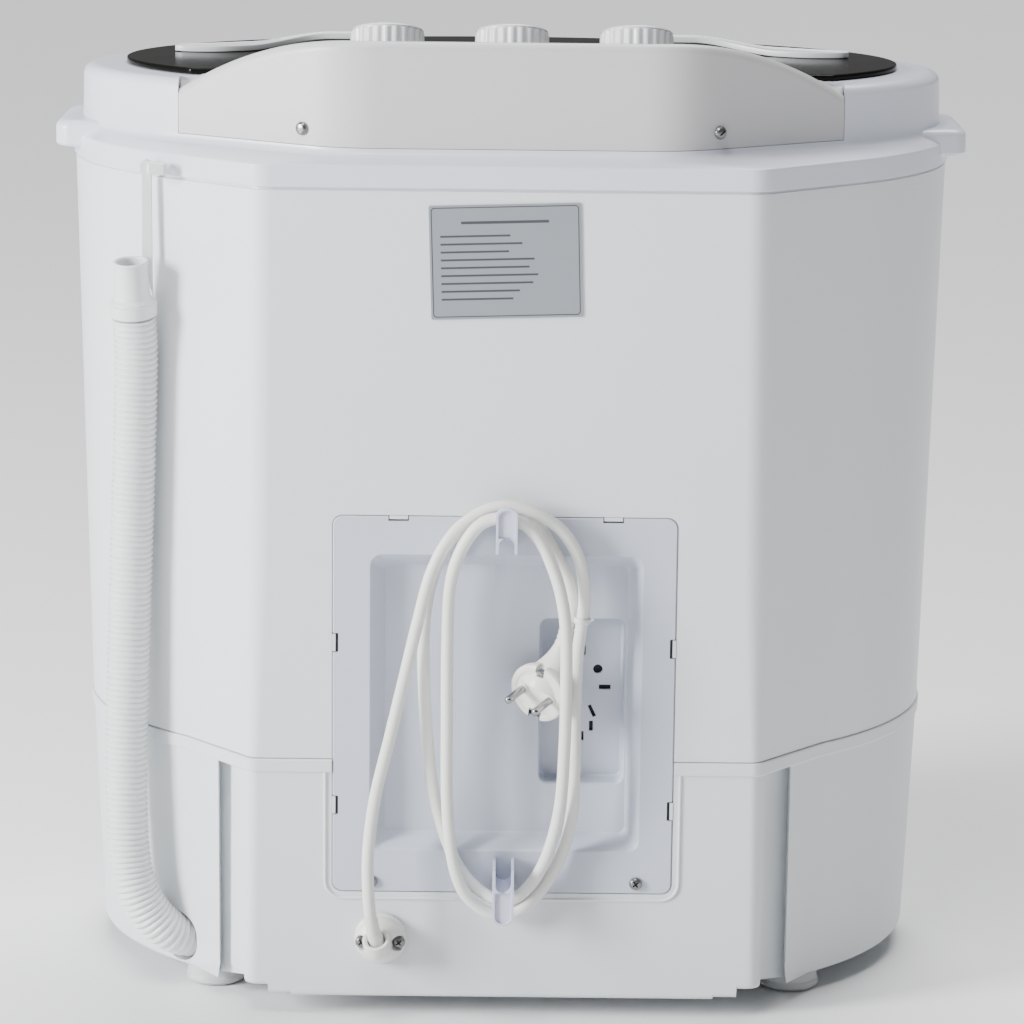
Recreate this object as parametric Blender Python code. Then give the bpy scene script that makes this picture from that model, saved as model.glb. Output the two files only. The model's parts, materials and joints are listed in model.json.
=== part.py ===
"""A compact twin tub washer: a wash tub and a spin drum side by side in one oval plastic body.

Metres, +Z up. The front faces -Y and the service side, with the mains lead and drain hose, faces +Y.
The origin is on the floor, under the middle of the body and its cord hooks.
"""

import math

import bmesh
import bpy
from mathutils import Matrix, Vector

# ---- driving dimensions -------------------------------------------------------------------
GAP = 0.0003                 # clearance that touching pieces keep
WALL = 0.003                 # moulded wall of the casings
HOOK_REACH = 0.029           # how far the cord hooks stand off the rear pad
BODY_DEPTH = 0.355           # rear pad to front of the oval
FLANGE_PROUD = 0.001         # how far the top cover's flange overhangs the casing
REAR_Y = (BODY_DEPTH + FLANGE_PROUD - HOOK_REACH) / 2
OVAL_DEPTH = 0.185           # rear pad to the oval's widest line
OVAL_Y = REAR_Y - OVAL_DEPTH
HALF_WIDTH = 0.275           # casing at its top
JOINT_HALF_WIDTH = 0.268     # casing and base at their joint
FOOT_HALF_WIDTH = 0.262      # base at its lower edge
FRONT_BULGE = BODY_DEPTH - OVAL_DEPTH
REAR_RATIO = 0.75            # rear half axis of the oval over its half width
PAD_TOP_HALF = 0.149
PAD_JOINT_HALF = 0.154
PAD_FOOT_HALF = 0.156
PAD_RADIUS = 0.010
PAD_SOFTEN = 0.012             # how much rounder the pad's corners are higher up
PAD_JOIN = 0.735             # where the pad's slanted side meets the oval, over the half width

FOOT_HEIGHT = 0.012
JOINT_Z = 0.164
CASING_TOP = 0.513
LIP_HEIGHT = 0.008
LIP_PROUD = 0.0012
FLANGE_TOP = 0.527
SHOULDER_Z = 0.534
DECK_Z = 0.568
CHANNEL_FROM = 0.159         # recess channels beside the base's pad
CHANNEL_TO = 0.176
CHANNEL_DEPTH = 0.013

COVER_HALF_WIDTH = 0.2705    # wall of the top cover
COVER_REAR = 0.1605
COVER_FRONT = 0.165
COVER_FLAT_HALF = 0.103
COVER_FLAT_DEPTH = 0.012
COVER_RADIUS = 0.075
COVER_JOIN = 0.7453

HANDLE_TIP = 0.284
HANDLE_Z = (0.519, 0.5355)

HUMP_HALF = 0.202            # control housing
HUMP_FRONT_DEPTH = 0.0967
HUMP_TOP = 0.598
HUMP_DROP = 0.0365
HUMP_FLAT_HALF = 0.094
FASCIA_HALF = 0.150
FASCIA_THICK = 0.002
FASCIA_SLOPE = math.atan2(0.0221, 0.0717)

KNOB_RADIUS = 0.02275
KNOB_PITCH = 0.0745
KNOB_HEIGHT = 0.0182
KNOB_DEPTH = 0.0480          # behind the rear pad, where the knob's axis meets the fascia
SHAFT_HOLE = 0.005

LID_HALF_WIDTH = 0.243
LID_REAR = 0.139
LID_FRONT = 0.145
LID_INNER = 0.006
LID_REAR_DEPTH = 0.1032
LID_Z = (0.5685, 0.572)
HINGE_DEPTH = 0.1002
HINGE_Z = 0.572
GRIP_X = (0.062, 0.2145)
GRIP_REAR = (0.236, 0.202)   # depth of the grip's rear edge at its arm and at its pad
GRIP_FRONT = (0.250, 0.217)
GRIP_THICK = 0.0036
GRIP_RISE = 0.0058

WASH_X, WASH_DEPTH = -0.122, 0.205
SPIN_X, SPIN_DEPTH = 0.128, 0.200
TUB_TOP = 0.5644
TUB_FLOOR = 0.212
TUB_WALL = 0.0025
PULSATOR_R = 0.080
SPIN_TUB_R = 0.102
SPIN_MOUTH_R = 0.086
BASKET_R = 0.082
BASKET_Z = (0.226, 0.500)

MOTOR_X, MOTOR_DEPTH = -0.030, 0.130
BELT_Z = 0.060
BIG_PULLEY_R = 0.060
SMALL_PULLEY_R = 0.020

COVER_X = 0.0010             # access cover in the rear pad
COVER_SIZE = (0.207, 0.235)
COVER_BOTTOM = 0.0805
COVER_PLATE = 0.0022
COVER_PROUD = 0.0006
RECESS_X = -0.0002
RECESS_HALF = (0.0812, 0.0915)
RECESS_CENTRE_Z = 0.1995
RECESS_DEPTH = 0.012
POCKET_X = (-0.0722, -0.0210)
POCKET_Z = (0.147, 0.250)
POCKET_DEPTH = 0.026

CORD_DIAMETER = 0.0075
HOSE_DIAMETER = 0.0268
HOSE_TOP = (0.2269, 0.0440)  # x and depth behind the rear pad of the hose at its cuff
HOSE_STEP = 0.018
SPOUT_LEAN = (0.035, 0.160, 0.986)      # the way the open spout points, a little towards the service side
CORD_STEP = 0.0195

# The lead's route in millimetres: x, distance off the rear pad, height.
CORD_ROUTE = [
    (75.5, 10, 45), (77, 16.5, 54), (79.5, 21.5, 65), (81.5, 24, 83), (82, 22.5, 110), (78, 20, 145),
    (69, 20, 184), (61, 20, 219), (53, 20.5, 254), (45, 20, 285), (34, 17, 306), (20, 14, 318.6),
    (4, 13.5, 324.9),
    (-14, 13.5, 322.4), (-30, 13, 313), (-39, 12, 302), (-44.5, 11, 289), (-47, 10, 271), (-46, 9, 256),
    (-43.5, 8, 233), (-42.5, 8, 198), (-42.5, 8, 162), (-41.5, 7.5, 135), (-36, 7.5, 109), (-25, 8.5, 87.5),
    (-9, 10.5, 71.5), (5, 11, 70), (17, 12.5, 76.5), (26, 15, 89), (31.5, 16.5, 110), (34.5, 16, 143),
    (35, 16, 197), (35, 17, 249), (33.5, 19, 278), (27, 21, 300), (16, 21.5, 315.5), (3, 21.5, 319.6),
    (-9, 21.5, 316.6), (-19, 21, 307), (-27, 20.5, 291), (-33, 22, 272), (-36, 24.5, 250), (-36.5, 25, 215),
    (-36, 22.5, 178), (-34, 17.5, 142), (-28, 14, 113), (-19, 12, 92.5), (-7, 10.5, 80.2), (6, 10, 79.8),
    (17, 8, 86), (28, 6.5, 99.5), (36, 6, 119), (43, 6, 145), (47, 7, 180), (49.5, 9, 228), (48, 8.5, 262),
    (41, 7, 289), (28, 5.5, 309), (12, 5.5, 319), (-5, 5.5, 320), (-19, 5.5, 311), (-30, 6, 294),
    (-37, 5.5, 279), (-40, 4.3, 266), (-39.8, 2.7, 256.5), (-37.0, 2.0, 248),
]
# The drain hose's route in millimetres: x, depth behind the rear pad, height.
HOSE_ROUTE = [
    (190, 74, 28.5), (200, 63.5, 30), (211, 57.5, 36), (222, 55.5, 48), (230, 55.5, 64), (234, 56.5, 83),
    (235.5, 57, 110), (235.5, 57, 150), (233.8, 56.5, 210), (231.2, 54.5, 275), (228.8, 51.5, 330),
    (227, 49.3, 378),
    (226.2, 47.2, 407.8), (226.9, 44, 427.5),
]
PLUG_FACE = (-19, 11, 209)           # middle of the plug's face, in the lead's units
PLUG_PINS = (0.526, 0.821, -0.221)   # the way the pins point, with +Y away from the pad
PLUG_ACROSS = (-0.846, 0.474, -0.251)
PIN_PITCH = 0.019


def rear(depth):
    """The Y of a plane this far behind the rear pad's face, towards the front."""
    return REAR_Y - depth


# ---- building blocks ----------------------------------------------------------------------
def clear_scene():
    for obj in list(bpy.data.objects):
        bpy.data.objects.remove(obj, do_unlink=True)


def material(name, colour, roughness, metallic=0.0):
    found = bpy.data.materials.get(name)
    if found:
        return found
    made = bpy.data.materials.new(name)
    made.use_nodes = True
    shader = made.node_tree.nodes["Principled BSDF"]
    shader.inputs["Base Color"].default_value = (*colour, 1.0)
    shader.inputs["Roughness"].default_value = roughness
    shader.inputs["Metallic"].default_value = metallic
    return made


def white_plastic():
    return material("white_plastic", (0.80, 0.81, 0.83), 0.32)


def grey_plastic():
    return material("grey_plastic", (0.72, 0.73, 0.76), 0.38)


def dark_plastic():
    return material("dark_plastic", (0.02, 0.02, 0.022), 0.18)


def steel():
    return material("steel", (0.62, 0.62, 0.63), 0.28, 1.0)


def rubber():
    return material("rubber", (0.05, 0.05, 0.055), 0.75)


def finish(name, bm, surface, origin=(0, 0, 0), smooth=True):
    """A mesh object from a bmesh whose points are in world places, with its origin where asked."""
    bmesh.ops.translate(bm, verts=bm.verts, vec=-Vector(origin))
    bmesh.ops.recalc_face_normals(bm, faces=bm.faces)
    mesh = bpy.data.meshes.new(name)
    bm.to_mesh(mesh)
    bm.free()
    if smooth:
        mesh.shade_smooth()
        mesh.set_sharp_from_angle(angle=math.radians(35))
    obj = bpy.data.objects.new(name, mesh)
    obj.location = origin
    bpy.context.scene.collection.objects.link(obj)
    if surface:
        mesh.materials.append(surface)
    return obj


def loft_mesh(rings, closed=False):
    """A bmesh skin through rings of equal counts: capped at both ends, or joined end to end."""
    bm = bmesh.new()
    rows = [[bm.verts.new(point) for point in ring] for ring in rings]
    pairs = list(zip(rows, rows[1:]))
    if closed:
        pairs.append((rows[-1], rows[0]))
    count = len(rows[0])
    for low, high in pairs:
        for i in range(count):
            j = (i + 1) % count
            bm.faces.new((low[i], low[j], high[j], high[i]))
    if not closed:
        bm.faces.new(rows[0])
        bm.faces.new(rows[-1])
    return bm


def loft(name, rings, surface, closed=False, origin=(0, 0, 0)):
    return finish(name, loft_mesh(rings, closed), surface, origin)


def circle(radius, centre, axis=(0, 0, 1), count=24, turn=0.0):
    """Points of a circle round a centre, in the plane across an axis."""
    spin = Vector(axis).to_track_quat("Z", "Y")
    points = []
    for i in range(count):
        angle = turn + 2 * math.pi * i / count
        points.append(Vector(centre) + spin @ Vector((radius * math.cos(angle), radius * math.sin(angle), 0)))
    return points


def turned(name, profile, centre, surface, axis=(0, 0, 1), count=24, closed=False, origin=None):
    """A turned piece: profile is (radius, distance along the axis from the centre)."""
    along = Vector(axis).normalized()
    rings = [circle(radius, Vector(centre) + along * height, axis, count) for radius, height in profile]
    return loft(name, rings, surface, closed, centre if origin is None else origin)


def box(name, low, high, surface, origin=(0, 0, 0)):
    bm = bmesh.new()
    bmesh.ops.create_cube(bm, size=1.0)
    size = Vector(high) - Vector(low)
    bmesh.ops.scale(bm, vec=size, verts=bm.verts)
    bmesh.ops.translate(bm, vec=Vector(low) + size / 2, verts=bm.verts)
    return finish(name, bm, surface, origin, smooth=False)


def round_box(name, low, high, surface, radius, axis="Y"):
    """A box whose four edges along one axis are rounded."""
    order = {"X": (1, 2, 0), "Y": (0, 2, 1), "Z": (0, 1, 2)}[axis]
    a, b, c = order
    corners = [(high[a], high[b], 0), (low[a], high[b], 90), (low[a], low[b], 180), (high[a], low[b], 270)]
    outline = []
    for u, v, start in corners:
        centre_u = u - math.copysign(radius, u - (low[a] + high[a]) / 2)
        centre_v = v - math.copysign(radius, v - (low[b] + high[b]) / 2)
        for step in range(4):
            angle = math.radians(start + 30 * step)
            outline.append((centre_u + radius * math.cos(angle), centre_v + radius * math.sin(angle)))
    rings = []
    for level in (low[c], high[c]):
        ring = []
        for u, v in outline:
            point = [0, 0, 0]
            point[a], point[b], point[c] = u, v, level
            ring.append(tuple(point))
        rings.append(ring)
    return loft(name, rings, surface)


def cutter(obj):
    obj.hide_render = True
    obj.display_type = "WIRE"
    return obj


def combine(target, helper, operation="DIFFERENCE"):
    """Cut a helper out of a piece, or join it on, and keep the helper as a hidden guide."""
    cutter(helper)
    change = target.modifiers.new(helper.name, "BOOLEAN")
    change.operation = operation
    change.solver = "EXACT"
    change.object = helper
    return target


# ---- outlines -----------------------------------------------------------------------------
def fillet(before, corner, after, radius, steps):
    """Points of the arc that rounds one corner of a flat outline."""
    corner = Vector(corner)
    first = (Vector(before) - corner).normalized()
    second = (Vector(after) - corner).normalized()
    half = first.angle(second) / 2
    centre = corner + (first + second).normalized() * radius / math.sin(half)
    reach = radius / math.tan(half)
    start = corner + first * reach - centre
    end = corner + second * reach - centre
    from_angle = math.atan2(start.y, start.x)
    sweep = math.atan2(end.y, end.x) - from_angle
    sweep = (sweep + math.pi) % (2 * math.pi) - math.pi
    points = []
    for i in range(steps + 1):
        angle = from_angle + sweep * i / steps
        points.append((centre.x + radius * math.cos(angle), centre.y + radius * math.sin(angle)))
    return points


def mirrored(half):
    """The whole outline from its +X half, which runs from the rear to the front's middle point."""
    return half + [(-x, y) for x, y in reversed(half[:-1])]


def half_plan(width, back, front, flat_half, flat_depth, join, radius, channel=0.0, wall=0.0):
    """The +X half of an oval with a flat across its rear, and its recess channel where asked."""
    flat_y = rear(flat_depth)
    turn = math.asin(join / width)
    meet = (join, OVAL_Y + back * math.cos(turn))
    points = fillet((0, flat_y), (flat_half, flat_y), meet, radius, 4)
    if channel is not None:
        edge = points[-1]
        slope = (meet[1] - edge[1]) / (meet[0] - edge[0])
        for x, inward in ((CHANNEL_FROM - wall, 0), (CHANNEL_FROM - wall + 0.0004, channel),
                          (CHANNEL_TO + wall - 0.0004, channel), (CHANNEL_TO + wall, 0)):
            points.append((x, edge[1] + slope * (x - edge[0]) - inward))
    for i in range(8):
        angle = turn + (math.pi / 2 - turn) * i / 7
        points.append((width * math.sin(angle), OVAL_Y + back * math.cos(angle)))
    for i in range(1, 13):
        angle = math.pi / 2 * (1 + i / 12)
        points.append((width * math.sin(angle), OVAL_Y + front * math.cos(angle)))
    return points


def pad_radius(z):
    return PAD_RADIUS + PAD_SOFTEN * min(max((z - JOINT_Z) / 0.120, 0), 1)


def body_ring(z, width, flat_half, grow=0.0, channel=None):
    """One level of the casing or base. A negative grow is inside the wall."""
    front = FRONT_BULGE - (HALF_WIDTH - width)
    half = half_plan(width + grow, width * REAR_RATIO + grow, front + grow, flat_half + grow * 0.7, -grow,
                     width * PAD_JOIN + grow * 0.6, pad_radius(z) + min(grow, 0) * 0.5,
                     channel, max(-grow, 0))
    return [(x, y, z) for x, y in mirrored(half)]


def cover_ring(z, grow=0.0):
    """One level of the top cover's wall."""
    half = half_plan(COVER_HALF_WIDTH + grow, COVER_REAR + grow, COVER_FRONT + grow,
                     COVER_FLAT_HALF + grow * 0.5,
                     COVER_FLAT_DEPTH - grow, COVER_HALF_WIDTH * COVER_JOIN + grow * 0.6,
                     COVER_RADIUS + grow, None)
    return [(x, y, z) for x, y in mirrored(half)]


def lid_outline(inset=0.0, side=1):
    """The rounded window of one lid: straight at the hinge and the middle, oval at its outer end."""
    width = LID_HALF_WIDTH - inset
    back = LID_REAR - inset
    front = LID_FRONT - inset
    rear_y = rear(LID_REAR_DEPTH + inset)
    inner = LID_INNER + inset
    start = math.acos((rear_y - OVAL_Y) / back)
    end = math.pi - math.asin(inner / width)
    points = []
    for i in range(7):
        angle = start + (math.pi / 2 - start) * i / 6
        points.append((width * math.sin(angle), OVAL_Y + back * math.cos(angle)))
    for i in range(1, 11):
        angle = math.pi / 2 + (end - math.pi / 2) * i / 10
        points.append((width * math.sin(angle), OVAL_Y + front * math.cos(angle)))
    points.append((inner, rear_y))
    return [(side * x, y) for x, y in points]


def at_height(outline, z):
    return [(x, y, z) for x, y in outline]


# ---- casing -------------------------------------------------------------------------------
def width_at(z):
    """Half width and pad half width of the casing and base at a height."""
    if z >= JOINT_Z:
        share = (z - JOINT_Z) / (CASING_TOP - JOINT_Z)
        return (JOINT_HALF_WIDTH + share * (HALF_WIDTH - JOINT_HALF_WIDTH),
                PAD_JOINT_HALF + share * (PAD_TOP_HALF - PAD_JOINT_HALF))
    share = (z - FOOT_HEIGHT) / (JOINT_Z - FOOT_HEIGHT)
    return (FOOT_HALF_WIDTH + share * (JOINT_HALF_WIDTH - FOOT_HALF_WIDTH),
            PAD_FOOT_HALF + share * (PAD_JOINT_HALF - PAD_FOOT_HALF))


def body_level(z, grow=0.0, channel=None):
    width, flat = width_at(z)
    return body_ring(z, width, flat, grow, channel)


def cover_opening(name, margin, y_from, y_to):
    """A cutter the size of the access cover plus a margin."""
    low = (COVER_X - COVER_SIZE[0] / 2 - margin, rear(y_to), COVER_BOTTOM - margin)
    high = (COVER_X + COVER_SIZE[0] / 2 + margin, rear(y_from), COVER_BOTTOM + COVER_SIZE[1] + margin)
    return round_box(name, low, high, None, 0.006 + max(margin, -0.004))


def base_housing():
    """The lower tub of the body, with its recess channels, lip and hose cut-out."""
    lip = JOINT_Z - LIP_HEIGHT
    top = JOINT_Z - GAP
    rings = [
        body_level(FOOT_HEIGHT, -0.002, CHANNEL_DEPTH),
        body_level(FOOT_HEIGHT + 0.003, 0, CHANNEL_DEPTH),
        body_level(lip - 0.0005, 0, CHANNEL_DEPTH),
        body_level(lip, LIP_PROUD, 0.0),
        body_level(top, LIP_PROUD, 0.0),
        body_level(top, -WALL, 0.0),
        body_level(lip + 0.003, -WALL, 0.0),
        body_level(lip + 0.0025, -WALL, CHANNEL_DEPTH),
        body_level(FOOT_HEIGHT + WALL, -WALL, CHANNEL_DEPTH),
    ]
    base = loft("base_housing", rings, white_plastic())
    combine(base, cover_opening("cut_base_rebate", 0.0006, -0.01, 0.0019))
    combine(base, cover_opening("cut_base_window", -0.005, -0.01, 0.02))
    start, end = Vector((0.226, rear(0.030), 0.031)), Vector((0.184, rear(0.086), 0.030))
    hose_arch = turned("cut_hose_arch", [(0.0200, 0), (0.0200, (end - start).length)], start, None,
                       end - start)
    combine(base, hose_arch)
    return base


def outer_casing():
    """The tall oval shell between the base and the top cover."""
    low, high = JOINT_Z, CASING_TOP
    rings = [
        body_level(low, 0),
        body_level((low + high) / 2, 0),
        body_level(high, 0),
        body_level(high, -WALL),
        body_level(low, -WALL),
    ]
    shell = loft("outer_casing", rings, white_plastic(), closed=True)
    combine(shell, cover_opening("cut_casing_rebate", 0.0006, -0.01, 0.0019))
    combine(shell, cover_opening("cut_casing_window", -0.005, -0.01, 0.02))
    return shell


def side_handle(side):
    """One lifting lug on the flange, rounded in plan."""
    tip = HANDLE_TIP
    half = [(0.258, OVAL_Y + 0.056), (0.270, OVAL_Y + 0.053)]
    half += fillet((0.262, OVAL_Y + 0.055), (tip, OVAL_Y + 0.048), (tip, OVAL_Y), 0.012, 4)
    half += fillet((tip, OVAL_Y), (tip, OVAL_Y - 0.042), (0.262, OVAL_Y - 0.049), 0.012, 4)
    half += [(0.270, OVAL_Y - 0.047), (0.258, OVAL_Y - 0.050)]
    outline = [(side * x, y) for x, y in half]
    name = "join_handle_left" if side > 0 else "join_handle_right"
    return loft(name, [at_height(outline, HANDLE_Z[0]), at_height(outline, HANDLE_Z[1])], None)


def top_cover():
    """The lid deck: flange, sloping shoulder, wall, rounded ridge and a deck with two mouths."""
    outer = [
        body_level(CASING_TOP + GAP, FLANGE_PROUD),
        body_ring(FLANGE_TOP - 0.0015, HALF_WIDTH, PAD_TOP_HALF, FLANGE_PROUD),
        body_ring(FLANGE_TOP, HALF_WIDTH, PAD_TOP_HALF, -0.0005),
    ]
    outer += [cover_ring(SHOULDER_Z), cover_ring(DECK_Z - 0.006, -0.0008),
              cover_ring(DECK_Z - 0.0022, -0.0028),
              cover_ring(DECK_Z - 0.0004, -0.0064), cover_ring(DECK_Z, -0.0100)]
    cover = loft("top_cover", outer, white_plastic())
    for side in (1, -1):
        combine(cover, side_handle(side), "UNION")
    inner = [body_ring(0.500, HALF_WIDTH, PAD_TOP_HALF, -0.0035),
             body_ring(FLANGE_TOP - 0.003, HALF_WIDTH, PAD_TOP_HALF, -0.0035),
             cover_ring(SHOULDER_Z - 0.003, -0.003), cover_ring(DECK_Z - 0.011, -0.004),
             cover_ring(DECK_Z - 0.006, -0.008), cover_ring(DECK_Z - 0.003, -0.016)]
    combine(cover, loft("cut_cover_inside", inner, None))
    hump_low = (-HUMP_HALF - GAP, rear(HUMP_FRONT_DEPTH + GAP), SHOULDER_Z + 0.001)
    combine(cover, box("cut_cover_hump", hump_low, (HUMP_HALF + GAP, rear(-0.02), 0.7), None))
    mouth = lid_outline(0.015, -1)
    combine(cover, loft("cut_wash_mouth", [at_height(mouth, 0.54), at_height(mouth, 0.60)], None))
    spin = [(SPIN_MOUTH_R, 0.54), (SPIN_MOUTH_R, 0.60)]
    combine(cover, turned("cut_spin_mouth", spin, (SPIN_X, rear(SPIN_DEPTH), 0), None, count=32))
    return cover


# ---- controls -----------------------------------------------------------------------------
def wall_depth(x):
    """Depth of the top cover's rear wall at a distance from the middle."""
    half = half_plan(COVER_HALF_WIDTH, COVER_REAR, COVER_FRONT, COVER_FLAT_HALF, COVER_FLAT_DEPTH,
                     COVER_HALF_WIDTH * COVER_JOIN, COVER_RADIUS, None)
    x = abs(x)
    if x <= half[0][0]:
        return COVER_FLAT_DEPTH
    for (x0, y0), (x1, y1) in zip(half, half[1:]):
        if x <= x1:
            return REAR_Y - (y0 + (y1 - y0) * (x - x0) / (x1 - x0))
    return REAR_Y - half[-1][1]


def ridge_height(x):
    past = max(abs(x) - HUMP_FLAT_HALF, 0) / (HUMP_HALF - HUMP_FLAT_HALF)
    return HUMP_TOP - HUMP_DROP * past * past


def fascia_plane(x):
    """The sloping top behind the ridge at one station: (depth, z) of its rear and front edges."""
    ridge = ridge_height(x)
    depth = wall_depth(x) + 0.013
    plane = 0.5916 - (depth - 0.025) * math.tan(FASCIA_SLOPE)
    front = min(0.5695, max(ridge, 0.566))
    return (depth, min(ridge - 0.001, plane)), (HUMP_FRONT_DEPTH, front)


def hump_section(x, wall=0.0, bottom=SHOULDER_Z + 0.001 + GAP):
    depth = wall_depth(x) + wall
    ridge = ridge_height(x) - wall
    back, front = fascia_plane(x)
    return [
        (depth, bottom),
        (depth, ridge - 0.005),
        (depth + 0.0015, ridge - 0.0015),
        (depth + 0.005, ridge),
        (back[0] - 0.002 - wall * 0.5, ridge - 0.0005),
        (back[0] - wall * 0.5, back[1] - wall),
        (front[0] - wall, front[1] - wall),
        (front[0] - wall, bottom),
    ]


def hump_stations(half):
    steps = 26
    return [half * (2 * i / steps - 1) for i in range(steps + 1)]


def surface_at(x, depth):
    """Height of the sloping top at a place on it."""
    (d0, z0), (d1, z1) = fascia_plane(x)
    return z0 + (z1 - z0) * (depth - d0) / (d1 - d0)


def fascia_rings(half, margin, below, above):
    rings = []
    for x in hump_stations(half):
        d0 = wall_depth(x) + 0.017 - margin
        d1 = HUMP_FRONT_DEPTH - 0.006 + margin
        rings.append([(x, rear(d), surface_at(x, d) + lift)
                      for d, lift in ((d0, -below), (d0, above), (d1, above), (d1, -below))])
    return rings


def knob_axis():
    return Vector((0, -math.sin(FASCIA_SLOPE), math.cos(FASCIA_SLOPE)))


def knob_foot(index):
    """Where one knob's axis meets the fascia."""
    x = (1 - index) * KNOB_PITCH
    return Vector((x, rear(KNOB_DEPTH), surface_at(x, KNOB_DEPTH)))


def control_housing():
    """The humped rear cover over the timers."""
    outer = [[(x, rear(d), z) for d, z in hump_section(x)] for x in hump_stations(HUMP_HALF)]
    housing = loft("control_housing", outer, grey_plastic())
    inner = [[(x, rear(d), z) for d, z in hump_section(x, WALL, 0.52)]
             for x in hump_stations(HUMP_HALF - WALL)]
    combine(housing, loft("cut_hump_inside", inner, None))
    seat = fascia_rings(FASCIA_HALF + GAP, GAP, FASCIA_THICK + GAP, 0.02)
    combine(housing, loft("cut_fascia_seat", seat, None))
    for i in range(3):
        hole = turned(f"cut_housing_shaft_{i}", [(SHAFT_HOLE, -0.02), (SHAFT_HOLE, 0.02)], knob_foot(i), None,
                      knob_axis(), 16)
        combine(housing, hole)
    return housing


def control_fascia():
    """The glossy dark dial panel."""
    panel = loft("control_fascia", fascia_rings(FASCIA_HALF, 0, FASCIA_THICK, 0.0), dark_plastic())
    for i in range(3):
        hole = turned(f"cut_fascia_shaft_{i}", [(SHAFT_HOLE, -0.02), (SHAFT_HOLE, 0.02)], knob_foot(i), None,
                      knob_axis(), 16)
        combine(panel, hole)
    return panel


def knob(name, index):
    """A dial with its drive spindle in one piece, its origin on its axis."""
    profile = [(0.003, -0.015), (0.003, 0.0008), (KNOB_RADIUS, 0.0008),
               (KNOB_RADIUS - 0.0008, KNOB_HEIGHT - 0.002),
               (KNOB_RADIUS - 0.003, KNOB_HEIGHT)]
    return turned(name, profile, knob_foot(index), white_plastic(), knob_axis(), 32)


def timer(name, index, radius, length):
    """A timer or switch body under the fascia, with a socket for the knob's spindle."""
    top = -0.0095
    profile = [(radius, top - length), (radius, top), (0.005, top), (0.005, top - 0.014)]
    return turned(name, profile, knob_foot(index), material("bakelite", (0.32, 0.30, 0.26), 0.5),
                  knob_axis(), 24)


# ---- lids ---------------------------------------------------------------------------------
def lid_window(name, side):
    """One smoked window with a hinge barrel along its rear edge."""
    outline = lid_outline(0, side)
    origin = (side * 0.1, rear(HINGE_DEPTH), HINGE_Z)
    window = loft(name, [at_height(outline, LID_Z[0]), at_height(outline, LID_Z[1])],
                  material("smoked_clear", (0.03, 0.032, 0.025), 0.08), origin=origin)
    for i, x in enumerate((0.035, 0.165)):
        place = (side * x, rear(HINGE_DEPTH), HINGE_Z)
        barrel = turned(f"join_{name}_barrel_{i}", [(0.0029, -0.012), (0.0029, 0.012)], place, None,
                        (1, 0, 0), 12)
        combine(window, barrel, "UNION")
        low = (side * x - 0.012, rear(HINGE_DEPTH + 0.0060), HINGE_Z - 0.0029)
        high = (side * x + 0.012, rear(HINGE_DEPTH + 0.0005), HINGE_Z - 0.0003)
        combine(window, box(f"join_{name}_web_{i}", low, high, None), "UNION")
    return window


def ease(x, start, end):
    share = min(max((x - start) / (end - start), 0), 1)
    return share * share * (3 - 2 * share)


def grip_rise(x):
    """How far the grip stands off its window: an arched arm between its small foot and its pad."""
    return GRIP_RISE * ease(x, 0.066, 0.084) * (1 - ease(x, 0.116, 0.168))


def grip_depths(x):
    """Rear and front edges of the grip: a narrow arm that broadens to a pad with a rounded end."""
    rear_edge = GRIP_REAR[0] + (GRIP_REAR[1] - GRIP_REAR[0]) * ease(x, 0.118, 0.194)
    front_edge = GRIP_FRONT[0] + (GRIP_FRONT[1] - GRIP_FRONT[0]) * ease(x, 0.132, 0.222)
    past = max((x - 0.196) / 0.019, 0)
    pull = 0.0065 * (1 - math.sqrt(1 - past * past))
    return rear_edge + pull, front_edge - pull * 0.6


def lid_grip(name, side):
    """The white grip on a lid: a flat pad, and an arm that arches off the window towards the middle."""
    rings = []
    steps = 24
    for i in range(steps + 1):
        x = GRIP_X[0] + (GRIP_X[1] - GRIP_X[0]) * i / steps
        base = LID_Z[1] + GAP + grip_rise(x)
        back, front = grip_depths(x)
        rings.append([(side * x, rear(back), base), (side * x, rear(back), base + GRIP_THICK),
                      (side * x, rear(front), base + GRIP_THICK), (side * x, rear(front), base)])
    return loft(name, rings, white_plastic(), origin=(side * 0.1, rear(HINGE_DEPTH), HINGE_Z))


# ---- tubs and drums -----------------------------------------------------------------------
def wash_tub():
    levels = [(TUB_FLOOR, 0.016), (TUB_FLOOR + 0.006, 0.012), (TUB_TOP, 0.003),
              (TUB_TOP, 0.003 + TUB_WALL), (TUB_FLOOR + 0.008, 0.012 + TUB_WALL),
              (TUB_FLOOR + 0.003, 0.017 + TUB_WALL)]
    rings = [at_height(lid_outline(inset, -1), z) for z, inset in levels]
    tub = loft("wash_tub", rings, white_plastic())
    hole = turned("cut_wash_tub_hub", [(0.0123, TUB_FLOOR - 0.01), (0.0123, TUB_FLOOR + 0.01)],
                  (WASH_X, rear(WASH_DEPTH), 0), None)
    return combine(tub, hole)


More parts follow.
